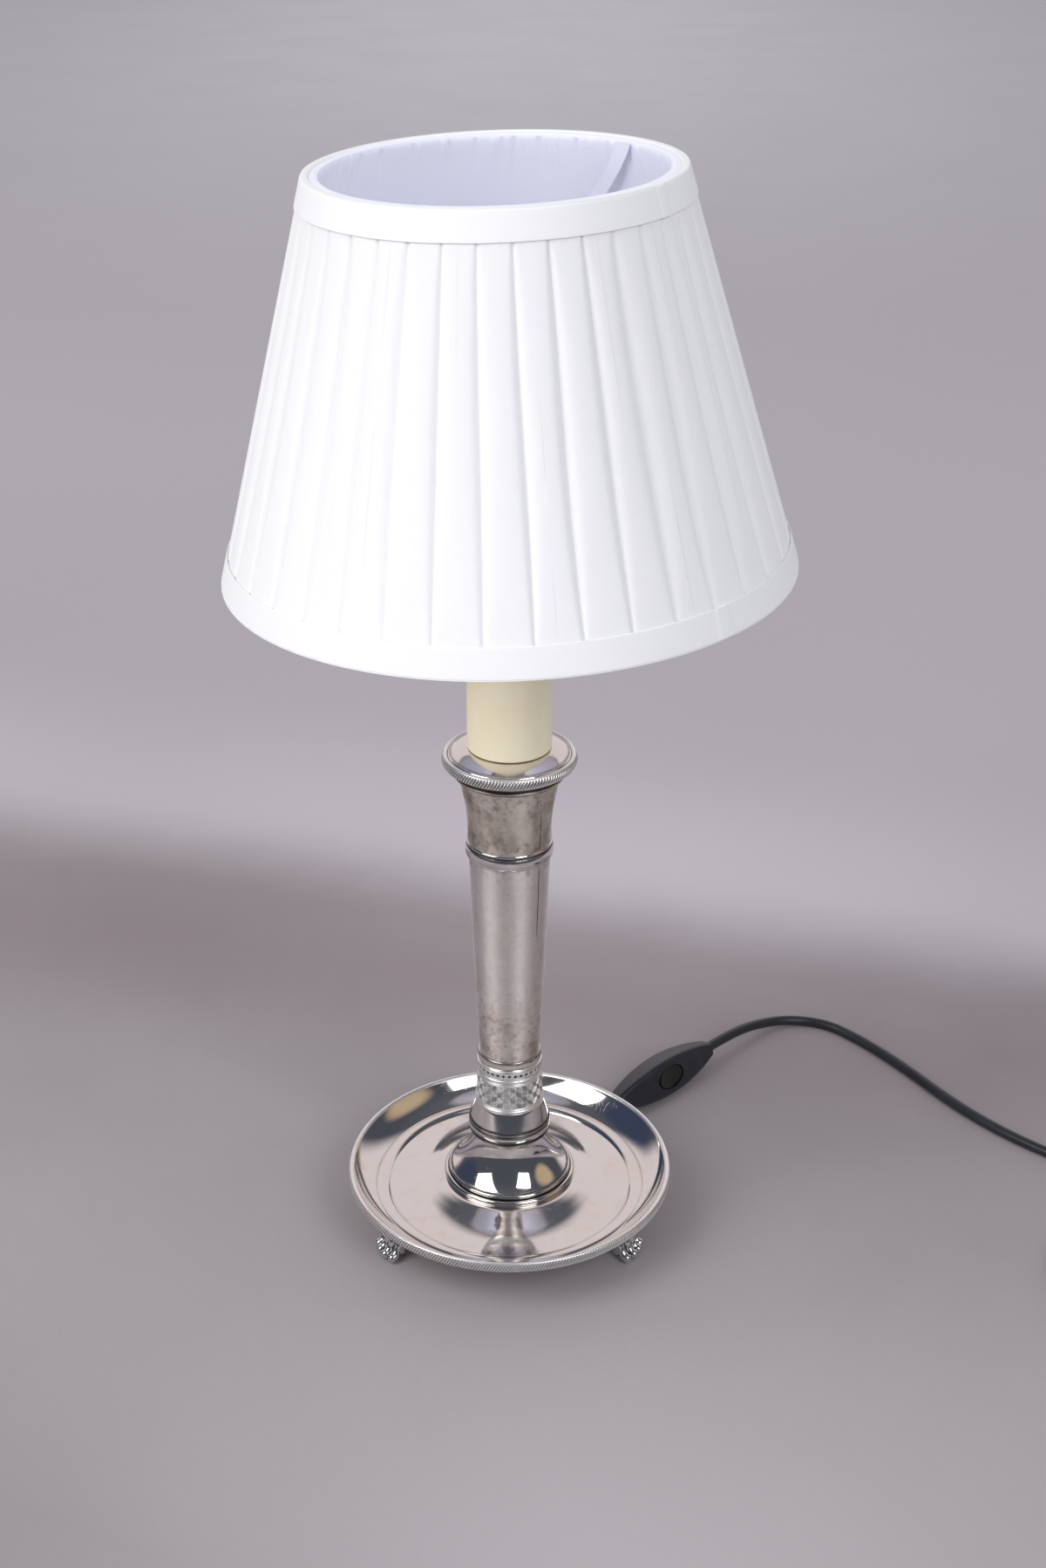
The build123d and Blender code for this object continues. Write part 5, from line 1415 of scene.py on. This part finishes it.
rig.cord(
    shortLead, exit=tuple(np.array(lead["shortRoute"][0]) * mm), length=0.0621, diameter=0.0054,
    far_end="fitting", stiffness="medium", lay="loose",
    with_pieces=[nodes["switch_case_top"], nodes["switch_case_bottom"]],
)
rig.cord(
    longLead, exit=tuple(np.array(lead["longRoute"][0]) * mm), length=1.8305, diameter=0.0054,
    far_end="plug", stiffness="medium", lay="coiled",
    with_pieces=[bpy.data.objects["plugRelief"], nodes["plug_body"], nodes["plug_pins"]],
)

# CAD nodes that stay, by finish.
kept = {
    zincSteel: ["threaded_rod", "base_washer", "base_nut", "top_washer", "top_nut", "switch_screws"],
    blackCase: ["cord_outlet_hub", "switch_case_top", "switch_case_bottom", "plug_body"],
    blackLead: ["inner_lead"],
    blackGloss: ["switch_rocker"],
    whitePlastic: ["lampholder_cap", "shade_ring"],
    ceramicWhite: ["lampholder_insert"],
    brassMetal: ["lampholder_contacts"],
    nickelMetal: ["plug_pins"],
    whiteWire: [
        "shade_fitter_ring", "shade_arms", "shade_bottom_wire", "shade_top_wire", "shade_struts",
    ],
}
for finish, names in kept.items():
    for name in names:
        for place in nodes[name].material_slots:
            place.material = finish

# Floor: bands across the room by distance, painted light and shade for the paper that turns up behind, with a fine
# tooth.
floorMesh = bpy.data.meshes.new("floor")
floorMesh.from_pydata([(-7, -4, 0), (7, -4, 0), (7, 10, 0), (-7, 10, 0)], [], [(0, 1, 2, 3)])
floor = bpy.data.objects.new("floor", floorMesh)
bpy.context.scene.collection.objects.link(floor)
floorPaint, tree, shader = newFinish("floorPaint", Specular_IOR_Level=0.2)
floorMesh.materials.append(floorPaint)
# Each band's colour paints the light and shade that falls there: a bright band where the paper turns up, darker before
# it.
bands = [
    (-0.26, (0.30, 0.272, 0.293)), (-0.10, (0.355, 0.325, 0.345)), (0.06, (0.32, 0.292, 0.308)),
    (0.20, (0.285, 0.243, 0.263)), (0.26, (0.30, 0.262, 0.282)), (0.38, (0.55, 0.51, 0.555)),
    (0.60, (0.47, 0.435, 0.47)), (1.5, (0.53, 0.49, 0.53)), (4.5, (0.66, 0.625, 0.67)),
]
nearest, depth = bands[0][0], bands[-1][0] - bands[0][0]
right, back, _ = apart(tree, coordinate(tree))
far = maths(tree, "ADD", back, summed(tree, -0.015, (cloudy(tree, 2.2, 0.3, 0.7), 0.03)))
far = summed(tree, far, (right, spread(tree, back, 0.6, 1.6, 0.30, 0.0)))
share = maths(tree, "DIVIDE", maths(tree, "SUBTRACT", far, nearest), depth)
share = maths(tree, "SQRT", maths(tree, "MAXIMUM", share, 0.0))
scale = addNode(tree, "ValToRGB", None, Fac=share)
scale.color_ramp.interpolation = "EASE"
for k, (at, colour) in enumerate(bands):
    spot = ((at - nearest) / depth) ** 0.5
    stop = scale.color_ramp.elements[k] if k < 2 else scale.color_ramp.elements.new(spot)
    stop.position, stop.color = spot, (*colour, 1)
tooth, soft = cloudy(tree, 1500.0, 0.3, 0.7), cloudy(tree, 5.0, 0.35, 0.7)
aside = maths(tree, "ABSOLUTE", maths(tree, "SUBTRACT", right, 0.03))
# Painted pool of light on the floor in the middle, in front of the lamp, fading out towards it.
middle = times(tree, fading(tree, aside, 0.0, 0.3), spread(tree, back, -0.30, -0.02, 0.45, 0.0))
# Painted light on the floor far behind, brightest towards the middle.
paintedFarLight = times(tree, fading(tree, aside, 0.0, 1.3), spread(tree, back, 1.2, 4.5, 0.0, 0.9))
colour = layered(
    tree, scale.outputs[0], (middle, 1, (0.60, 0.565, 0.60)), (paintedFarLight, 1, (0.85, 0.81, 0.86)),
    (tooth, 0.05, (0.2, 0.18, 0.2)), (soft, 0.10, (0.5, 0.47, 0.5)),
)
finished(tree, shader, colour, summed(tree, 0.7, (tooth, 0.1)), tooth, 0.00003)
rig.stage(floor)

# The room as metal mirrors it: azimuth and elevation of each zone in degrees (0 is the front,
# plus is right), its full and its outer reach, its colour.
room = {
    "dark": (0.075, 0.083, 0.105),
    "zones": [
        (0, 90, 8, 50, (0.115, 0.125, 0.15)),
        (180, 12, 44, 58, (0.78, 0.71, 0.73)),
        (83, 28, 9, 22, (0.54, 0.42, 0.29)),
        (-106, 28, 14, 30, (0.045, 0.06, 0.11)),
    ],
    "seen": (0.40, 0.375, 0.40),
    "fill": (0.55, 0.555, 0.57),
}


# Unit vector from the lamp towards an azimuth and elevation.
def toward(azimuth, elevation):
    a, e = math.radians(azimuth), math.radians(elevation)
    return np.array([math.sin(a) * math.cos(e), -math.cos(a) * math.cos(e), math.sin(e)])


world = bpy.data.worlds.new("room")
bpy.context.scene.world = world
world.use_nodes = True
tree = world.node_tree
direction = coordinate(tree, "Generated")
mirrored = room["dark"]
for azimuth, elevation, full, outer, colour in room["zones"]:
    near = addNode(
        tree, "VectorMath", {"operation": "DOT_PRODUCT"}, i0=direction, i1=toward(azimuth, elevation),
    ).outputs["Value"]
    mask = spread(tree, near, math.cos(math.radians(outer)), math.cos(math.radians(full)))
    mirrored = layered(tree, mirrored, (mask, 1, colour))
ray = addNode(tree, "LightPath").outputs
gloss = maths(tree, "MAXIMUM", ray["Is Glossy Ray"], ray["Is Transmission Ray"])
chosen = addNode(tree, "Mix", {"data_type": "RGBA"}, i0=gloss, i6=(*room["fill"], 1), i7=mirrored)
chosen = layered(tree, chosen.outputs[2], (ray["Is Camera Ray"], 1, room["seen"]))
tree.links.new(chosen, tree.nodes["Background"].inputs["Color"])
tree.nodes["Background"].inputs["Strength"].default_value = 1.0

# Windows: azimuth, elevation and distance from a point a little above the table, which they face.

windows = {
    "windowLeft": (-60, 44, 3.2, (1.65, 2.05), 44, (1.0, 0.985, 0.965)),
    "windowRight": (34.5, 39, 3.2, (1.25, 1.5), 30, (0.97, 0.985, 1.0)),
    "lowFill": (-52, 9, 2.5, (1.2, 0.5), 15, (1.0, 0.98, 0.95)),
}
for name, (azimuth, elevation, away, (wide, high), power, colour) in windows.items():
    data = bpy.data.lights.new(name, "AREA")
    data.shape, data.size, data.size_y = "RECTANGLE", wide, high
    data.energy, data.color = power, colour
    item = bpy.data.objects.new(name, data)
    item.location = np.array([0, 0, 0.05]) + away * toward(azimuth, elevation)
    item.rotation_euler = (math.radians(90 - elevation), 0.0, math.radians(azimuth))
    bpy.context.scene.collection.objects.link(item)
bpy.data.objects["lowFill"].visible_glossy = False

bpy.context.scene.view_settings.view_transform = "Standard"
print("pieces", len(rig.table()))
json.dump(
    {"cad": [list(map(float, p)) for p in cadBox], "visual": [list(map(float, p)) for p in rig.bounds()]},
    open("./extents.json", "w"),
)
